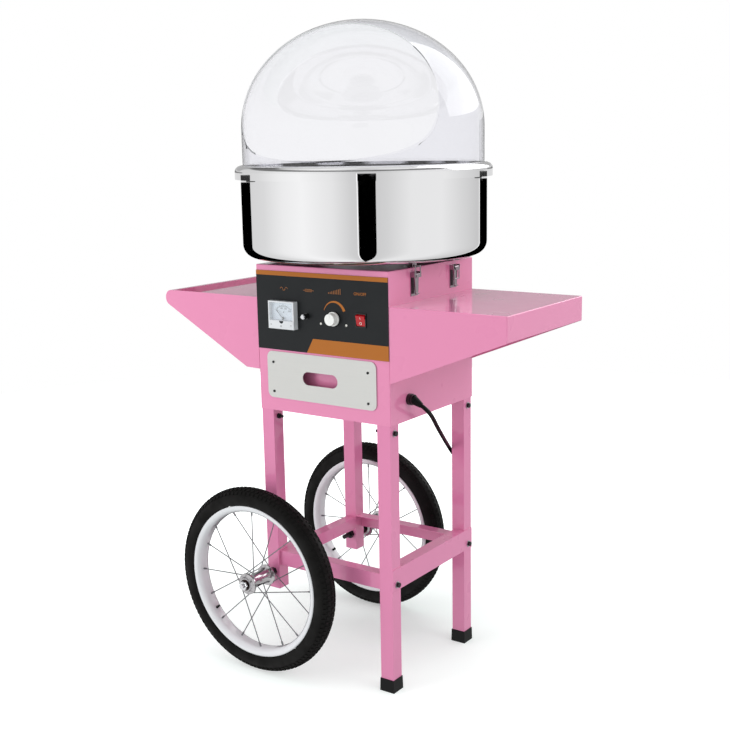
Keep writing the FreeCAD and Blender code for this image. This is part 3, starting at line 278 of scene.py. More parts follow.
lip_acrylic, tree, shader = new_material(
    "acrylic_flame_polished_edge", "FCFCFD", 0.2, Transmission_Weight=1.0, IOR=1.01, Specular_IOR_Level=0.3
)
mottle(tree, shader, noise(tree, 2), 0.15, 0.3)
print("clear acrylic")

# %% [markdown]
# ## Printed film
# The control panel carries a screen-printed film: satin charcoal, with orange print.

# %% Panel film and inks
panel_film, tree, shader = new_material("polyester_film_charcoal", "1F2123", 0.42, Specular_IOR_Level=0.2)
roughen(tree, shader, noise(tree, 1.0, 2.0), 0.02, 0.3)
mottle(tree, shader, noise(tree, 40), 0.38, 0.5)


def ink(name, code):
    """A satin ink or a printed card."""
    made, tree, shader = new_material(name, code, 0.45, Specular_IOR_Level=0.2)
    mottle(tree, shader, noise(tree, 2), 0.4, 0.52)
    return made


orange_ink = ink("screen_ink_orange", "B26B2C")
pale_ink = ink("screen_ink_pale", "E9E6DF")
dull_ink = ink("screen_ink_dull_orange", "9A6238")
dark_ink = ink("screen_ink_black", "22262A")
dial_card = ink("printed_card_dial", "DCE4EE")
print("film and inks")

# %% [markdown]
# ## Making pieces
# Most round parts come off a lathe, so our helper does the same: it takes half an outline, rounds the
# corners that need it, and spins it. Edges sharper than 30 degrees stay crisp and the rest shade smooth.

# %% Lathe and piece helpers
def make_piece(name, shape, material, body="cart", stands_for=(), crisp=30):
    """Turns a bmesh into a finished piece that rides on a body."""
    bmesh.ops.remove_doubles(shape, verts=shape.verts, dist=1e-6)
    bmesh.ops.dissolve_degenerate(shape, dist=1e-7, edges=shape.edges)
    bmesh.ops.recalc_face_normals(shape, faces=shape.faces)
    for face in shape.faces:
        face.smooth = True
    for edge in shape.edges:
        edge.smooth = len(edge.link_faces) == 2 and edge.calc_face_angle() < math.radians(crisp)
    mesh = bpy.data.meshes.new(name)
    shape.to_mesh(mesh)
    shape.free()
    mesh.materials.append(material)
    piece = bpy.data.objects.new(name, mesh)
    scene.collection.objects.link(piece)
    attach(piece, body)
    if stands_for:
        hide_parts(*stands_for)
    return piece


def outline(corners, rounds=(), closed=True):
    """A wire in the XZ plane through (radius, height) corners in millimetres. rounds gives some a radius."""
    wire = bmesh.new()
    dots = [wire.verts.new((radius / 1000, 0, height / 1000)) for radius, height in corners]
    pairs = list(zip(dots, dots[1:] + dots[:1]))
    for pair in pairs if closed else pairs[:-1]:
        wire.edges.new(pair)
    for index, radius in dict(rounds).items():
        bmesh.ops.bevel(
            wire, geom=[dots[index]], offset=radius / 1000, offset_type="OFFSET", affect="VERTICES",
            segments=12, profile=0.5, material=-1,
        )
    return wire


def spin(wire, steps):
    """Turns a wire in the XZ plane round the Z axis."""
    geometry = wire.verts[:] + wire.edges[:]
    bmesh.ops.spin(
        wire, geom=geometry, cent=(0, 0, 0), axis=(0, 0, 1), angle=math.tau, steps=steps, use_merge=True
    )
    return wire


def lay_over(shape, centre):
    """Turns a spun shape's axis from Z to Y, and moves it to its place in metres."""
    quarter = Matrix.Rotation(math.radians(-90), 3, "X")
    bmesh.ops.rotate(shape, verts=shape.verts, cent=(0, 0, 0), matrix=quarter)
    bmesh.ops.translate(shape, verts=shape.verts, vec=centre)
    return shape


def copy_of(node):
    """A merged copy of a solid's mesh, ready for new edges and materials."""
    shape = bmesh.new()
    shape.from_mesh(frame["nodes"][node].data)
    bmesh.ops.remove_doubles(shape, verts=shape.verts, dist=1e-5)
    bmesh.ops.dissolve_limit(shape, angle_limit=math.radians(1), verts=shape.verts, edges=shape.edges)
    return shape


def body_of(node):
    """The name of the body that a solid belongs to."""
    return next(name for name, nodes in frame["record"]["behaviour"]["bodies"].items() if node in nodes)


def refine(node, material, crisp=30):
    """Shows a solid as a smooth-shaded copy in a finish of its own. Its large faces keep flat normals."""
    piece = make_piece(node + "_smooth", copy_of(node), material, body_of(node), [node], crisp)
    flat = piece.modifiers.new("flat_faces", "WEIGHTED_NORMAL")
    flat.keep_sharp = True
    return piece


def plate(name, x, y, z, material, soft=0.0):
    """A thin plate between two limits on each axis, in millimetres, with its edges eased."""
    shape = bmesh.new()
    bmesh.ops.create_cube(shape, size=1.0)
    wide = [(limits[1] - limits[0]) / 1000 for limits in (x, y, z)]
    middle = [sum(limits) / 2000 for limits in (x, y, z)]
    bmesh.ops.scale(shape, verts=shape.verts, vec=wide)
    bmesh.ops.translate(shape, verts=shape.verts, vec=middle)
    if soft:
        bmesh.ops.bevel(
            shape, geom=shape.edges[:], offset=soft / 1000, affect="EDGES", segments=2, profile=0.5,
            material=-1,
        )
    return make_piece(name, shape, material)


print("helpers ready")

# %% [markdown]
# ## The mains cord
# Such a machine has about 1.8 m of cord, 8.5 mm thick with a PVC jacket. It leaves a gland low on the
# right side, sags past the rear leg, and the rest is wound into a hank behind that leg, held by a strap.
# A cord is a curve, because its thickness never changes and its bends are all that matters. The route's
# points are the control points of one smooth spline, and the hank's turns are more points of it.

# %% Cord route
CORD = 8.5
BOOT = Vector((0.866, 0.05, -0.4975))
AWAY = Vector((-0.507, 0.862, 0))
ASIDE = Vector((0.862, 0.507, 0))
LEG = Vector((145, 141, 0))
GLAND = Vector((173, -91, 599))


def behind_leg(away, aside, height):
    """A place behind the rear right leg, in millimetres."""
    return LEG + AWAY * away + ASIDE * aside + Vector((0, 0, height))


gland_tip = GLAND + BOOT * 10
route = [
    gland_tip,
    gland_tip + BOOT * 9.7,
    Vector((197, -85, 582)),
    Vector((200, -74, 571)),
    Vector((189, -45, 554)),
    Vector((170, 3, 522)),
    Vector((145, 69, 480)),
    Vector((123, 127, 444)),
    Vector((106, 171, 418)),
]

HANK_BACK, HANK_HEIGHT = 62, 313.5
HANK_WIDE, HANK_TALL = 76.5, 190
LAYER = 4.25
HANK = behind_leg(HANK_BACK, 0, HANK_HEIGHT)
STRAIGHT = (HANK_TALL - HANK_WIDE) / 2
OUTER, INNER = 34.0, 25.5

# A turn's 14 points: where each stands on the clock, its share of the straight, and those that bulge a little
CLOCK = [0, 45, 90, 90, 90, 90, 135, 180, 225, 270, 270, 270, 270, 315]
LIFTS = [1, 1, 0.9, 0.33, -0.33, -0.9, -1, -1, -1, -0.9, -0.33, 0.33, 0.9, 1]
BULGING = (0, 1, 6, 7, 8, 13)


def turn(start, end, layer, end_layer):
    """One turn of the hank, clockwise from its top, its radius and layer changing near the end."""
    spots = []
    for step, (degrees, share) in enumerate(zip(CLOCK, LIFTS)):
        late = max(0.0, (step - 8) / (len(CLOCK) - 8))
        side = layer + (end_layer - layer) * late
        reach = (start + (end - start) * late) * (1.04 if step in BULGING else 1.0)
        angle = math.radians(degrees)
        across, height = reach * math.sin(angle), share * STRAIGHT + reach * math.cos(angle)
        spots.append(HANK + AWAY * across + ASIDE * side + Vector((0, 0, height)))
    return spots


route += turn(OUTER, INNER, -LAYER, -LAYER)
route += turn(INNER, INNER, -LAYER, LAYER)
route += turn(INNER, OUTER, LAYER, LAYER)
route += turn(OUTER, OUTER, LAYER, LAYER)[:4]
PLUG_TOP = behind_leg(HANK_BACK + HANK_WIDE / 2 - LAYER - 3, LAYER, HANK_HEIGHT - HANK_TALL / 2 - 16)
route += [PLUG_TOP + Vector((0, 0, height)) for height in (76, 50, 26)] + [PLUG_TOP]
print("cord route of", len(route), "points")

# %% Gland, strap and plug
def tint(piece, material, chosen):
    """Gives a second finish to the faces whose centres are chosen."""
    piece.data.materials.append(material)
    last = len(piece.data.materials) - 1
    for face in piece.data.polygons:
        if chosen(face.center):
            face.material_index = last


gland = refine("cord_inlet", black_abs)
ribs = [(4.4, 0), (9.7, 0)]
for rib in range(5):
    height = 2.2 + 3.4 * rib
    radius = 9.7 - 0.21 * height
    ribs += [(radius, height), (radius - 0.9, height + 0.6)]
    ribs += [(radius - 1.0, height + 1.3), (radius - 0.4, height + 1.9)]
sleeve_shape = spin(outline(ribs + [(5.5, 20), (4.4, 20)]), 40)
facing = BOOT.to_track_quat("Z", "Y").to_matrix()
bmesh.ops.rotate(sleeve_shape, verts=sleeve_shape.verts, cent=(0, 0, 0), matrix=facing)
bmesh.ops.translate(sleeve_shape, verts=sleeve_shape.verts, vec=GLAND / 1000)
sleeve = make_piece("cord_strain_relief", sleeve_shape, black_rubber)

strap = refine("cord_strap", black_abs)
plug = refine("plug", black_abs)
PLUG_FACE = 0.1464
tint(plug, bright_plate, lambda place: place.z < PLUG_FACE)
print("gland, sleeve of", len(sleeve.data.polygons), "faces, strap and plug")

# %% Cord
line = bpy.data.curves.new("mains_cord_line", "CURVE")
line.dimensions = "3D"
spline = line.splines.new("NURBS")
spline.points.add(len(route) - 1)
for point, place in zip(spline.points, route):
    point.co = (*(place / 1000), 1.0)
spline.order_u = 3
spline.use_endpoint_u = True
spline.resolution_u = 8
line.bevel_depth = CORD / 2000
line.bevel_resolution = 4
line.use_fill_caps = True
line.materials.append(cord_jacket)
cord = bpy.data.objects.new("mains_cord_jacket", line)
scene.collection.objects.link(cord)
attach(cord, "cart")
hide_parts("mains_cord", "cord_hank")
print("cord", round(sum((b - a).length for a, b in zip(route, route[1:]))), "mm along its control points")

# %% [markdown]
# ## The bowl and its rim
# The bowl is spun from one disc of steel against a wooden form, and its edge is rolled outwards into a
# stiff rim. The rim's inner ledge carries the dome. Both come off our lathe with the same radii.

# %% Bowl
STEPS = 256
pan = [
    (20, 869.8),
    (249.3, 869.8),
    (249.3, 898),
    (249.3, 1051.5),
    (248.1, 1051.5),
    (248.1, 898),
    (248.1, 871),
    (20, 871),
]
pan_wire = outline(pan, {1: 26, 6: 24.8})
bowl = make_piece("bowl_spun", spin(pan_wire, STEPS), mirror_steel, "cart", ["bowl"])
UNDERSIDE = 0.86982
# The flat underside takes the dark mill steel, which the cabinet top mirrors as painted shade.
tint(bowl, mill_finish_and_shade_steel, lambda place: place.z < UNDERSIDE)

rolled = [
    (239.5, 1046),
    (248.1, 1046),
    (248.1, 1051.5),
    (259.3, 1051.5),
    (259.3, 1027.2),
    (249.3, 1027.2),
    (249.3, 1026),
    (260.5, 1026),
    (260.5, 1039.5),
    (260.5, 1052.7),
    (246.9, 1052.7),
    (246.9, 1047.2),
    (239.5, 1047.2),
]
rim_wire = outline(rolled, {3: 9.3, 9: 12.5, 10: 3.0, 11: 2.5})
bowl_rim = make_piece("bowl_rim_rolled", spin(rim_wire, STEPS), mirror_steel, "cart", ["bowl_rim"])
ROLL_FOOT, ROLL_INSIDE = 1.0401, 0.2485
tint(bowl_rim, rolled_steel, lambda place: place.z > ROLL_FOOT)
# The ledge inside the rolled edge takes the steel with painted reflections.
tint(bowl_rim, ledge_steel_painted_reflections, lambda place: place.z > ROLL_FOOT and math.hypot(place.x, place.y) < ROLL_INSIDE)
print("bowl", len(bowl.data.polygons), "faces, rim", len(bowl_rim.data.polygons))

# %% [markdown]
# ## The dome
# We spin the dome's wall as one closed outline, so it has an inner and an outer skin. The mouth is where an
# oval column passes through the wall, and a Boolean takes the column away.

# %% Dome
WALL, SKIRT, MIDDLE = 3.0, 1047.5, 1123.5
WIDE, RISE = 244.0, 209.2
ARC_STEPS, SKIRT_STEPS = 72, 14
MOUTH_TURN, MOUTH_LIFT = 13.4, 43.3
MOUTH = (0.2023, 0.1476, 0.45)
MOUTH_FOOT = Vector((0, 0, 1.035))


def skin(inset):
    """One skin of the dome, from its lowest edge to its crown."""
    angles = [math.radians(90 * step / ARC_STEPS) for step in range(ARC_STEPS)]
    cap = [((WIDE - inset) * math.cos(turn), MIDDLE + (RISE - inset) * math.sin(turn)) for turn in angles]
    rings = [SKIRT + (MIDDLE - SKIRT) * step / SKIRT_STEPS for step in range(SKIRT_STEPS)]
    skirt = [(WIDE - inset, height) for height in rings]
    return skirt + cap + [(0, MIDDLE + RISE - inset)]


shell = spin(outline(skin(0) + skin(WALL)[::-1]), STEPS)
bmesh.ops.remove_doubles(shell, verts=shell.verts, dist=1e-6)
bmesh.ops.recalc_face_normals(shell, faces=shell.faces)
shell_mesh = bpy.data.meshes.new("dome_shell")
shell.to_mesh(shell_mesh)
shell.free()
blank = bpy.data.objects.new("dome_blank", shell_mesh)
scene.collection.objects.link(blank)

sideways, lift = math.radians(MOUTH_TURN), math.radians(MOUTH_LIFT)
facing = Vector((math.sin(sideways) * math.cos(lift), -math.cos(sideways) * math.cos(lift), math.sin(lift)))
level = Vector((math.cos(sideways), math.sin(sideways), 0))
axes = Matrix((level, facing.cross(level), facing)).transposed()
column = bmesh.new()
bmesh.ops.create_cone(column, cap_ends=True, segments=192, radius1=1.0, radius2=1.0, depth=1.0)
bmesh.ops.translate(column, verts=column.verts, vec=(0, 0, 0.5))
bmesh.ops.scale(column, verts=column.verts, vec=MOUTH)
bmesh.ops.rotate(column, verts=column.verts, cent=(0, 0, 0), matrix=axes)
bmesh.ops.translate(column, verts=column.verts, vec=MOUTH_FOOT)
column_mesh = bpy.data.meshes.new("mouth_column")
column.to_mesh(column_mesh)
column.free()
cutter = bpy.data.objects.new("mouth_cutter", column_mesh)
scene.collection.objects.link(cutter)

opening = blank.modifiers.new("mouth", "BOOLEAN")
opening.operation = "DIFFERENCE"
opening.object = cutter
opening.solver = "EXACT"
cut_mesh = bpy.data.meshes.new_from_object(blank.evaluated_get(bpy.context.evaluated_depsgraph_get()))
dome_shape = bmesh.new()
dome_shape.from_mesh(cut_mesh)
for spare in (blank, cutter):
    bpy.data.objects.remove(spare)
dome = make_piece("dome_clear", dome_shape, clear_acrylic, "dome_body", ["dome"])


def is_sawn(place):
    """Faces between the two skins: the edge of the mouth and the dome's lowest edge."""
    across = math.hypot(place.x, place.y) * 1000
    above = max(0.0, place.z * 1000 - MIDDLE)
    outer = math.hypot(across / WIDE, above / RISE)
    inner = math.hypot(across / (WIDE - WALL), above / (RISE - WALL))
    return outer < 0.999 and inner > 1.001


LIP_WAY = Vector((-0.42, 0.24, 0.35))


def is_polished(place):
    """The right and lower part of both edges, where hands pass."""
    return is_sawn(place) and (place - MOUTH_FOOT).dot(LIP_WAY) < 0


tint(dome, sawn_acrylic, is_sawn)
tint(dome, lip_acrylic, is_polished)
print("dome", len(dome.data.polygons), "faces")

# %% [markdown]
# ## Wheels
# These are 16 inch bicycle wheels: a fat rubber tyre on a white enamelled rim, sixteen crossed spokes and
# a chrome hub. The tread is rows of small blocks, 1.2 mm proud of the tyre's round section.

# %% Wheels
AXLE = (-145, 199.5)
WHEEL_SIDE = 0.211
WHEEL_STEPS = 192
TYRE_MIDDLE, TYRE_BASE, TYRE_INNER = 176.5, 21.8, 19.0
BLOCKS, BLOCK = 108, (0.0024, 0.0066, 0.0068, 1)


def tyre_shape():
    """A torus of rubber, open at the rim, with five rows of blocks round its crown."""
    section = []
    for radius, angles in ((TYRE_BASE, range(-124, 125, 8)), (TYRE_INNER, range(124, -125, -8))):
        for angle in angles:
            across = radius * math.sin(math.radians(angle))
            section.append((TYRE_MIDDLE + radius * math.cos(math.radians(angle)), across))
    shape = spin(outline(section), WHEEL_STEPS)
    out_to = Matrix.Translation((TYRE_MIDDLE / 1000, 0, 0))
    proud = Matrix.Translation((TYRE_BASE / 1000, 0, 0))
    for row, angle in enumerate((-50, -26, 0, 26, 50)):
        tilt = Matrix.Rotation(math.radians(-angle), 4, "Y")
        for block in range(BLOCKS):
            turn_by = Matrix.Rotation(math.tau * (block + 0.5 * (row % 2)) / BLOCKS, 4, "Z")
            on_tyre = turn_by @ out_to @ tilt @ proud @ Matrix.Diagonal(BLOCK)
            bmesh.ops.create_cube(shape, size=1.0, matrix=on_tyre)
    return shape


RIM_HALF = [
    (163, 14),
    (163, 17.6),
    (161, 18.6),
    (158, 18.2),
    (155, 17),
    (152.1, 14.8),
    (149.9, 11.8),
    (148.8, 8.8),
    (148.5, 5.6),
]
RIM_INNER = [(150.5, 5.6), (151.1, 8.6), (153.1, 11.4), (156, 13.4)]
HUB_HALF = [
    (5.05, 36),
    (11.6, 36),
    (12, 38),
    (14.2, 38),
    (15, 35),
    (16.6, 32.9),
    (21.6, 32.3),
    (22.5, 31.6),
    (22.5, 28.9),
    (17, 27.5),
    (14.5, 22.5),
]


def both_sides(half):
    """A half outline and its mirror image."""
    return half + [(radius, -across) for radius, across in reversed(half)]


SUNK_END_RADIUS, SUNK_END_FACE = 11.9, 0.0355


def is_sunk_end(place):
    """The sunk faces round the axle, at both ends of a hub."""
    from_axle = math.hypot(place.x * 1000 - AXLE[0], place.z * 1000 - AXLE[1])
    return from_axle < SUNK_END_RADIUS and abs(abs(place.y) - WHEEL_SIDE) > SUNK_END_FACE


VALVE = {"radius1": 0.003, "radius2": 0.0026, "depth": 0.011}
VALVE_TURN, VALVE_REACH = math.radians(217), 0.1455
spoke_way = Vector((math.cos(VALVE_TURN), 0, math.sin(VALVE_TURN)))
valve_turn = (-spoke_way).to_track_quat("Z", "Y").to_matrix()
rim_section = both_sides(RIM_HALF) + [(r, -a) for r, a in reversed(RIM_INNER)] + RIM_INNER
for side, name in ((-1, "front"), (1, "rear")):
    centre = (AXLE[0] / 1000, side * WHEEL_SIDE, AXLE[1] / 1000)
    body = name + "_wheel"
    treaded = lay_over(tyre_shape(), centre)
    make_piece("tyre_" + name + "_treaded", treaded, tyre_rubber, body, ["tyre_" + name], 40)
    rim_shape = lay_over(spin(outline(rim_section, {1: 1.2, 2: 1.2}), WHEEL_STEPS), centre)
    make_piece("rim_" + name + "_spun", rim_shape, rim_coat, body, ["rim_" + name])
    hub_shape = lay_over(spin(outline(both_sides(HUB_HALF)), 72), centre)
    hub = make_piece("hub_" + name + "_turned", hub_shape, hub_plate, body, ["hub_" + name])
    # The sunk faces round the axle are drawn dark brown.
    tint(hub, sunk_end_brown, is_sunk_end)
    refine("spokes_" + name, spoke_wire)

    valve = bmesh.new()
    bmesh.ops.create_cone(valve, cap_ends=True, segments=20, **VALVE)
    bmesh.ops.rotate(valve, verts=valve.verts, cent=(0, 0, 0), matrix=valve_turn)
    bmesh.ops.translate(valve, verts=valve.verts, vec=Vector(centre) + spoke_way * VALVE_REACH)
    make_piece("valve_" + name, valve, black_rubber, body)
print("two wheels")

# %% Axles and bolts
OUTER_NUT = 0.2485
for name in ("front", "rear"):
    nuts = refine("axle_" + name, black_zinc)
    tint(nuts, bright_plate, lambda place: abs(place.y) > OUTER_NUT)

WASHERS = ((0.1599, 0.16151), (0.1619, 0.16351))


def is_washer(place):
    """The washers lie in two planes, between the steel and the bolt heads."""
    return any(low < abs(place.x) < high for low, high in WASHERS)


bolts = refine("frame_bolts", black_zinc)
tint(bolts, clear_zinc, is_washer)
print("axles and", len(bolts.data.polygons), "faces of bolts")

# %% [markdown]
# ## Cabinet, wings and cart
# Everything painted keeps the shape of its solid. A merged copy lets bends shade smoothly, so a 2 mm bend
# catches a soft line of light as a folded sheet does. The wings stay out of mirrors, so that the bowl above
# them shows plain bands of the tent.

# %% Painted pieces
for node in ("cabinet_shell", "cabinet_floor", "back_cover", "drawer_box"):
    refine(node, pink_coat)
for node in ("left_tray", "right_shelf"):
    wing = refine(node, pink_coat)
    wing.visible_glossy = False
# Legs and stretchers below get the darker tube pink, a painted shade.
for corner in ("front_right", "rear_right", "front_left", "rear_left"):
    refine("leg_" + corner, tube_pink_painted_shade)
for node in ("cross_stretchers", "stretcher_left", "stretcher_right"):
    refine(node, tube_pink_painted_shade)
refine("cabinet_screws", clear_zinc)
refine("rubber_feet", black_rubber)
refine("drawer_runners", clear_zinc)

front_plate = refine("drawer_front", brushed_steel)
PLATE_FACE = -0.15902
tint(front_plate, black_zinc, lambda place: place.y < PLATE_FACE)
print("painted pieces and drawer")

# %% Drive pieces
refine("motor", cast_alloy)
refine("motor_bracket", clear_zinc)
refine("drive_shaft", bright_plate)
refine("bearing_housing", cast_alloy)
refine("spinner_head", cast_alloy)
refine("heating_ring", brushed_steel)
# Latch plates, catches, levers and bails get the nickel plate with its painted pink reflection.
refine("latch_plates", plate_nickel_painted_reflection)
refine("bowl_catches", plate_nickel_painted_reflection)
for corner in ("front_right", "rear_right", "front_left", "rear_left"):
    refine("latch_lever_" + corner, plate_nickel_painted_reflection)
    refine("latch_bail_" + corner, plate_nickel_painted_reflection)
print("drive and latches")

# %% [markdown]
# ## The control panel
# The panel's film is screen printed, so ink lies on it as very thin plates. An orange line runs along its
# top, a tab fills its lower right corner, and pictures stand above the meter, fuse, heat knob and switch.

# %% Printing
FILM = -158.2
INK = 0.12


def print_on(name, shapes, material, face=FILM, body="cart"):
    """Prints outlines of (x, z) corners in millimetres on an upright face."""
    shape = bmesh.new()
    for corners in shapes:
        dots = [shape.verts.new((x / 1000, (face - INK) / 1000, z / 1000)) for x, z in corners]
        front = shape.faces.new(dots)
        raised = bmesh.ops.extrude_face_region(shape, geom=[front])
        moved = [item for item in raised["geom"] if isinstance(item, bmesh.types.BMVert)]
        bmesh.ops.translate(shape, verts=moved, vec=(0, 1.5 * INK / 1000, 0))
    return make_piece(name, shape, material, body)


def bar(x, z, wide, high):
    """A rectangle as an outline, from its middle and its size."""
    left, right, low, top = x - wide / 2, x + wide / 2, z - high / 2, z + high / 2
    return [(left, low), (right, low), (right, top), (left, top)]


def band(centre, radius, thick, start, end, steps=40):
    """An arc as an outline. thick is a half width at its start and at its end, and angles are in degrees."""
    outer, inner = [], []
    for step in range(steps + 1):
        share = step / steps
        angle = math.radians(start + (end - start) * share)
        half = thick[0] + (thick[1] - thick[0]) * share
        for edge, reach in ((outer, radius + half), (inner, radius - half)):
            edge.append((centre[0] + reach * math.cos(angle), centre[1] + reach * math.sin(angle)))
    return outer + inner[::-1]


def disc(x, z, radius, steps=32):
    """A circle as an outline."""
    turns = [math.tau * step / steps for step in range(steps)]
    return [(x + radius * math.cos(turn), z + radius * math.sin(turn)) for turn in turns]


refine("control_panel", panel_film)
top_line = bar(0, 840.5, 323, 9)
corner_tab = [(-35.7, 684.6), (161.5, 684.6), (161.5, 714), (-19.6, 714)]
heat_arc = band((34.3, 765.9), 25.6, (0.4, 3.0), 163, 19)
print_on("panel_print_orange", [top_line, corner_tab, heat_arc], orange_ink)
print_on("panel_heat_limits", [disc(1, 746, 2.3), disc(63, 747, 2.3)], pale_ink)

volts = [band((-90 + 6 * k, 810), 3, (0.5, 0.5), 180 if k % 2 else -180, 0, 16) for k in range(-1, 2)]
fuse = [bar(-28, height, long, 0.9) for height, long in ((812.2, 16), (807.8, 16), (810, 26))]
fuse += [bar(across, 810, 0.9, 5.3) for across in (-36, -20)]
heat = [bar(22 + 4 * k, 808 + 0.6 * k, 1.6, 3 + 1.2 * k) for k in range(8)]
print_on("panel_pictures", volts + fuse + heat, dull_ink)
print("panel printed")

# %% Words on the switch
def letters(name, text, height, x, z, material, face=FILM, body="cart"):
    """Letters or numbers as very thin solids, centred on a place in millimetres."""
    line = bpy.data.curves.new(name, "FONT")
    line.body = text
    line.size = height / 1000
    line.extrude = INK / 2000
    line.align_x = "CENTER"
    line.align_y = "CENTER"
    line.resolution_u = 3
    written = bpy.data.objects.new(name, line)
    scene.collection.objects.link(written)
    shape = bmesh.new()
    solid = bpy.data.meshes.new_from_object(written.evaluated_get(bpy.context.evaluated_depsgraph_get()))
    shape.from_mesh(solid)
    bpy.data.objects.remove(written)
    upright = Matrix.Rotation(math.radians(90), 3, "X")
    bmesh.ops.rotate(shape, verts=shape.verts, cent=(0, 0, 0), matrix=upright)
    bmesh.ops.translate(shape, verts=shape.verts, vec=(x / 1000, (face - INK / 2) / 1000, z / 1000))
    return make_piece(name, shape, material, body)


letters("panel_switch_words", "ON/OFF", 8.2, 97, 810, orange_ink)
print("switch words")

# %% Meter
refine("meter_case", meter_acrylic)
refine("meter_needle", dark_ink)
DIAL, PIVOT = -163.0, (-88.5, 751)
SCALE, SKIRT_FACE = 24.5, -171.5
print_on("meter_card", [bar(-89.5, 765, 58.6, 35.6)], dial_card, DIAL)
ticks = [band(PIVOT, SCALE, (0.2, 0.2), 135, 45)]
for mark in range(21):
    angle = math.radians(135 - 4.5 * mark)
    long = 4.0 if mark % 5 == 0 else 2.2
    across = (-math.sin(angle) * 0.22, math.cos(angle) * 0.22)
    near, far = SCALE, SCALE + long
    corners = []
    for reach, side in ((near, 1), (far, 1), (far, -1), (near, -1)):
        corners.append((
            PIVOT[0] + reach * math.cos(angle) + side * across[0],
            PIVOT[1] + reach * math.sin(angle) + side * across[1],
        ))
    ticks.append(corners)
print_on("meter_scale", ticks, dark_ink, DIAL - INK)
for number, angle in (("0", 135), ("100", 105), ("200", 75), ("300", 45)):
    place = math.radians(angle)
    x = PIVOT[0] + 20.5 * math.cos(place)
    z = PIVOT[1] + 20.5 * math.sin(place)
    letters("meter_number_" + number, number, 4.6, x, z, dark_ink, DIAL - INK)
letters("meter_unit", "V", 5.5, PIVOT[0], 763, dark_ink, DIAL - INK)
plate("meter_window", (-119.5, -59.5), (-170.9, -170.1), (746.5, 783.5), meter_glass)
plate("meter_skirt", (-121.6, -57.4), (SKIRT_FACE, -170.9), (730.4, 746.4), meter_acrylic, soft=0.25)
boss = [point for point in disc(PIVOT[0], 746.6, 5.2, 48) if point[1] <= 746.7]
print_on("meter_boss", [boss], dark_ink, SKIRT_FACE)
screws = [disc(-115, 738.5, 1.6), disc(-64, 738.5, 1.6), disc(-89.5, 736, 2.0)]
print_on("meter_screws", screws, clear_zinc, SKIRT_FACE)
print("meter")

# %% Fuse, knob and switch
holder = refine("fuse_holder", black_abs)
FUSE_CAP = -0.1711
tint(holder, bright_plate, lambda place: place.y < FUSE_CAP)
refine("heat_control", black_abs)
refine("power_knob", white_abs)
refine("switch_body", black_abs)
refine("switch_rocker", red_abs)


def on_rocker(name, shapes, tilt, y, z):
    """A mark printed on one slope of the rocker."""
    mark = print_on(name, shapes, pale_ink, 0, "rocker")
    lean = Matrix.Rotation(math.radians(tilt), 4, "X")
    mark.data.transform(Matrix.Translation((0.0985, y / 1000, z / 1000)) @ lean)
    return mark


on_rocker("rocker_on_mark", [bar(0, 0, 0.9, 4.6)], 16.4, -161.97, 763.8)
on_rocker("rocker_off_mark", [band((0, 0), 2.3, (0.4, 0.4), 0, 359, 40)], 8.9, -159.78, 753.6)
print("fuse, knob and switch")

# %% [markdown]
# ## Studio
# The machine stands on a white floor in a white tent. Polished steel shows the tent itself, so the tent has
# a dark gap behind the machine and a dark slot beside the camera, which draw the bowl's black bands. A big
# window on the right draws the bright crescent in the dome, and a dimmer far wall keeps the tops of tray
# and shelf from washing out.

# %% Floor
floor_coat, tree, shader = new_material(
    "studio_white_floor_painted_shadow", "D1DAD7", 0.9, Specular_IOR_Level=0.0, Emission_Color=(1, 1, 1, 1)
)
# For the camera, and faintly through glass, the floor glows: least near a point under the cart, more further
# out. That dimmer middle is a painted shadow beneath the machine. Its grey-green colour takes the pink out of
# the light that the machine throws onto it.
place = add_node(tree, "TexCoord").outputs["Object"]
shade_middle = (-0.05, 0.1, 0)
distance = add_node(tree, "VectorMath", {0: place, 1: shade_middle}, operation="DISTANCE").outputs["Value"]
limits = {"Value": distance, "From Min": 0.05, "From Max": 0.9, "To Min": 0.27, "To Max": 0.97}
floor_glow_painted_shadow = add_node(tree, "MapRange", limits).outputs["Result"]
paths = add_node(tree, "LightPath").outputs
GLASS_SHARE = 0.3
behind_glass = {0: paths["Is Transmission Ray"], 1: GLASS_SHARE}
through = add_node(tree, "Math", behind_glass, operation="MULTIPLY").outputs["Value"]
either = {0: paths["Is Camera Ray"], 1: through}
seen = add_node(tree, "Math", either, operation="MAXIMUM").outputs["Value"]
strength = add_node(tree, "Math", {0: floor_glow_painted_shadow, 1: seen}, operation="MULTIPLY").outputs["Value"]
tree.links.new(strength, shader.inputs["Emission Strength"])
floor_shape = bmesh.new()
bmesh.ops.create_circle(floor_shape, cap_ends=True, segments=96, radius=3.2)
floor_mesh = bpy.data.meshes.new("floor")
floor_shape.to_mesh(floor_mesh)
floor_shape.free()
floor_mesh.materials.append(floor_coat)
floor = bpy.data.objects.new("floor", floor_mesh)
scene.collection.objects.link(floor)
floor.visible_glossy = False
print("floor")

# %% Lamps
def soft_box(name, place, aim, wide, watts):
    """A square lamp that faces a point."""
    lamp = bpy.data.lights.new(name, "AREA")
    lamp.shape = "SQUARE"
    lamp.size = wide
    lamp.energy = watts
    box = bpy.data.objects.new(name, lamp)
    box.location = place
    way = Vector(aim) - Vector(place)
    box.rotation_euler = way.to_track_quat("-Z", "Y").to_euler()
    box.visible_glossy = False
    box.visible_transmission = False
    scene.collection.objects.link(box)
    return box


soft_box("key", (-2.2, -3.0, 0.95), (0, 0, 0.7), 2.0, 54)
soft_box("overhead", (0.3, 0.2, 3.6), (0, 0, 0), 2.6, 25)
soft_box("fill", (3.3, 0.3, 2.0), (0, 0, 0.8), 1.6, 30)
print("three lamps")

# %% World
world = bpy.data.worlds.new("white_tent")
scene.world = world
world.use_nodes = True
tree = world.node_tree
tree.nodes.clear()


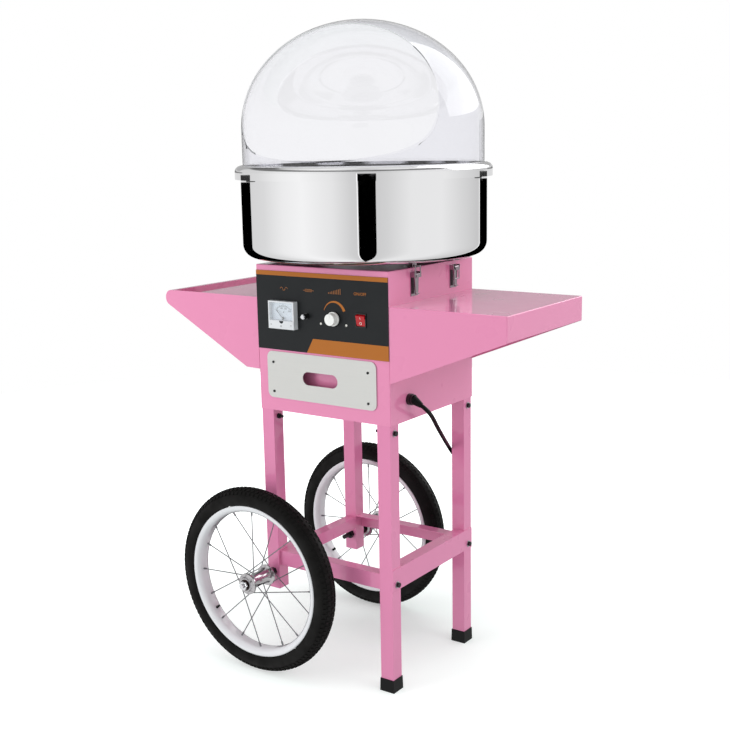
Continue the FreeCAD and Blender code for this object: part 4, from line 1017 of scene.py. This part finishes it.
def maths(kind, first, second=0.0):
    """The result of one sum in the world's node tree."""
    return add_node(tree, "Math", {0: first, 1: second}, operation=kind).outputs["Value"]


way = add_node(tree, "TexCoord").outputs["Generated"]
parts = add_node(tree, "SeparateXYZ", {"Vector": way}).outputs
azimuth = maths("MULTIPLY", maths("ARCTAN2", parts["Y"], parts["X"]), 180 / math.pi)
rise = maths("MULTIPLY", maths("ARCSINE", parts["Z"]), 180 / math.pi)


def between(value, low, high, soft):
    """One between two angles, falling to nothing over a soft edge, all in degrees."""
    limits = {"From Min": low - soft, "From Max": low, "To Min": 0.0, "To Max": 1.0}
    rising = add_node(tree, "MapRange", {"Value": value, **limits}).outputs["Result"]
    limits = {"From Min": high, "From Max": high + soft, "To Min": 1.0, "To Max": 0.0}
    falling = add_node(tree, "MapRange", {"Value": value, **limits}).outputs["Result"]
    return maths("MULTIPLY", rising, falling)


def card(azimuths, rises, soft=0.4):
    """A rectangle of the tent, as azimuths and heights in degrees."""
    return maths("MULTIPLY", between(azimuth, *azimuths, soft), between(rise, *rises, soft))


# The tent's wall brightens and dims as its panels pass, as azimuths in degrees and strengths
PANELS = [
    (-180, 0.72),
    (-160, 0.76),
    (-135, 0.92),
    (-113, 0.99),
    (-84, 0.86),
    (-66, 0.68),
    (-60, 0.66),
    (-44, 0.66),
    (-35, 0.70),
    (-12, 0.87),
    (20, 0.88),
    (45, 0.74),
    (72, 0.62),
    (79, 0.62),
    (84, 0.76),
    (120, 0.76),
    (180, 0.72),
]
ramp = add_node(tree, "ValToRGB", {"Fac": maths("ADD", maths("DIVIDE", azimuth, 360.0), 0.5)})
stops = ramp.color_ramp.elements
for index, (degrees, bright) in enumerate(PANELS):
    place = degrees / 360 + 0.5
    stop = stops[index] if index < 2 else stops.new(place)
    stop.position = place
    stop.color = (bright, bright, bright, 1)
wall = ramp.outputs["Color"]

# The bowl's wall mirrors what lies below -1.85 degrees, and its rim's skirt what lies just above that
dark_gap = maths("MAXIMUM", card((80, 175.5), (-90, -1.85), 0.02), card((-60.3, -44.5), (-90, -1.52), 0.02))
gap_tops = maths("MAXIMUM", card((165.3, 180), (-1.82, -1.5), 0.02), card((67.9, 85.3), (-1.82, -1.5), 0.02))
gap_tops = maths("MAXIMUM", gap_tops, card((-180, -173.5), (-1.82, -1.5), 0.02))
dark_gap = maths("MAXIMUM", dark_gap, maths("MULTIPLY", gap_tops, 0.95))
low_edge = card((85, 170), (-1.1, 2.6), 0.15)
edges = maths("MAXIMUM", card((-61.4, -60.8), (-90, -1.52), 0.1), card((78.2, 79.8), (-90, -1.52), 0.1))

# Level tops and the dome mirror the higher parts
big_window = card((33, 93), (8.5, 62), 1.0)
far_wall = card((101, 160), (7, 50), 4.0)
seam = between(rise, 28, 46, 3.0)
tent = maths("MULTIPLY", wall, maths("SUBTRACT", 1.0, maths("MULTIPLY", low_edge, 0.7)))
tent = maths("MULTIPLY", tent, maths("SUBTRACT", 1.0, maths("MULTIPLY", far_wall, 0.4)))
tent = maths("MULTIPLY", tent, maths("SUBTRACT", 1.0, maths("MULTIPLY", seam, 0.75)))
tent = maths("ADD", tent, maths("MULTIPLY", edges, 0.5))
tent = maths("ADD", tent, maths("MULTIPLY", big_window, 2.4))
tent = maths("MULTIPLY", tent, maths("SUBTRACT", 1.0, dark_gap))
seen_by = add_node(tree, "LightPath").outputs


def blend(share, first, second):
    """The second value where the share is one, and the first where it is nought."""
    return add_node(tree, "Mix", {0: share, 2: first, 3: second}).outputs[0]


level = blend(seen_by["Is Glossy Ray"], 0.72, tent)
clear = maths("MAXIMUM", seen_by["Is Camera Ray"], seen_by["Is Transmission Ray"])
sky = add_node(tree, "Background", {"Color": (1, 1, 1, 1), "Strength": blend(clear, level, 1.0)})
add_node(tree, "OutputWorld", {"Surface": sky.outputs["Background"]})
print("tent of", len(PANELS), "panels")

# %% [markdown]
# ## Finish
# The picture shows its colours through the plain Standard view transform.

# %% Finish
scene.view_settings.view_transform = "Standard"
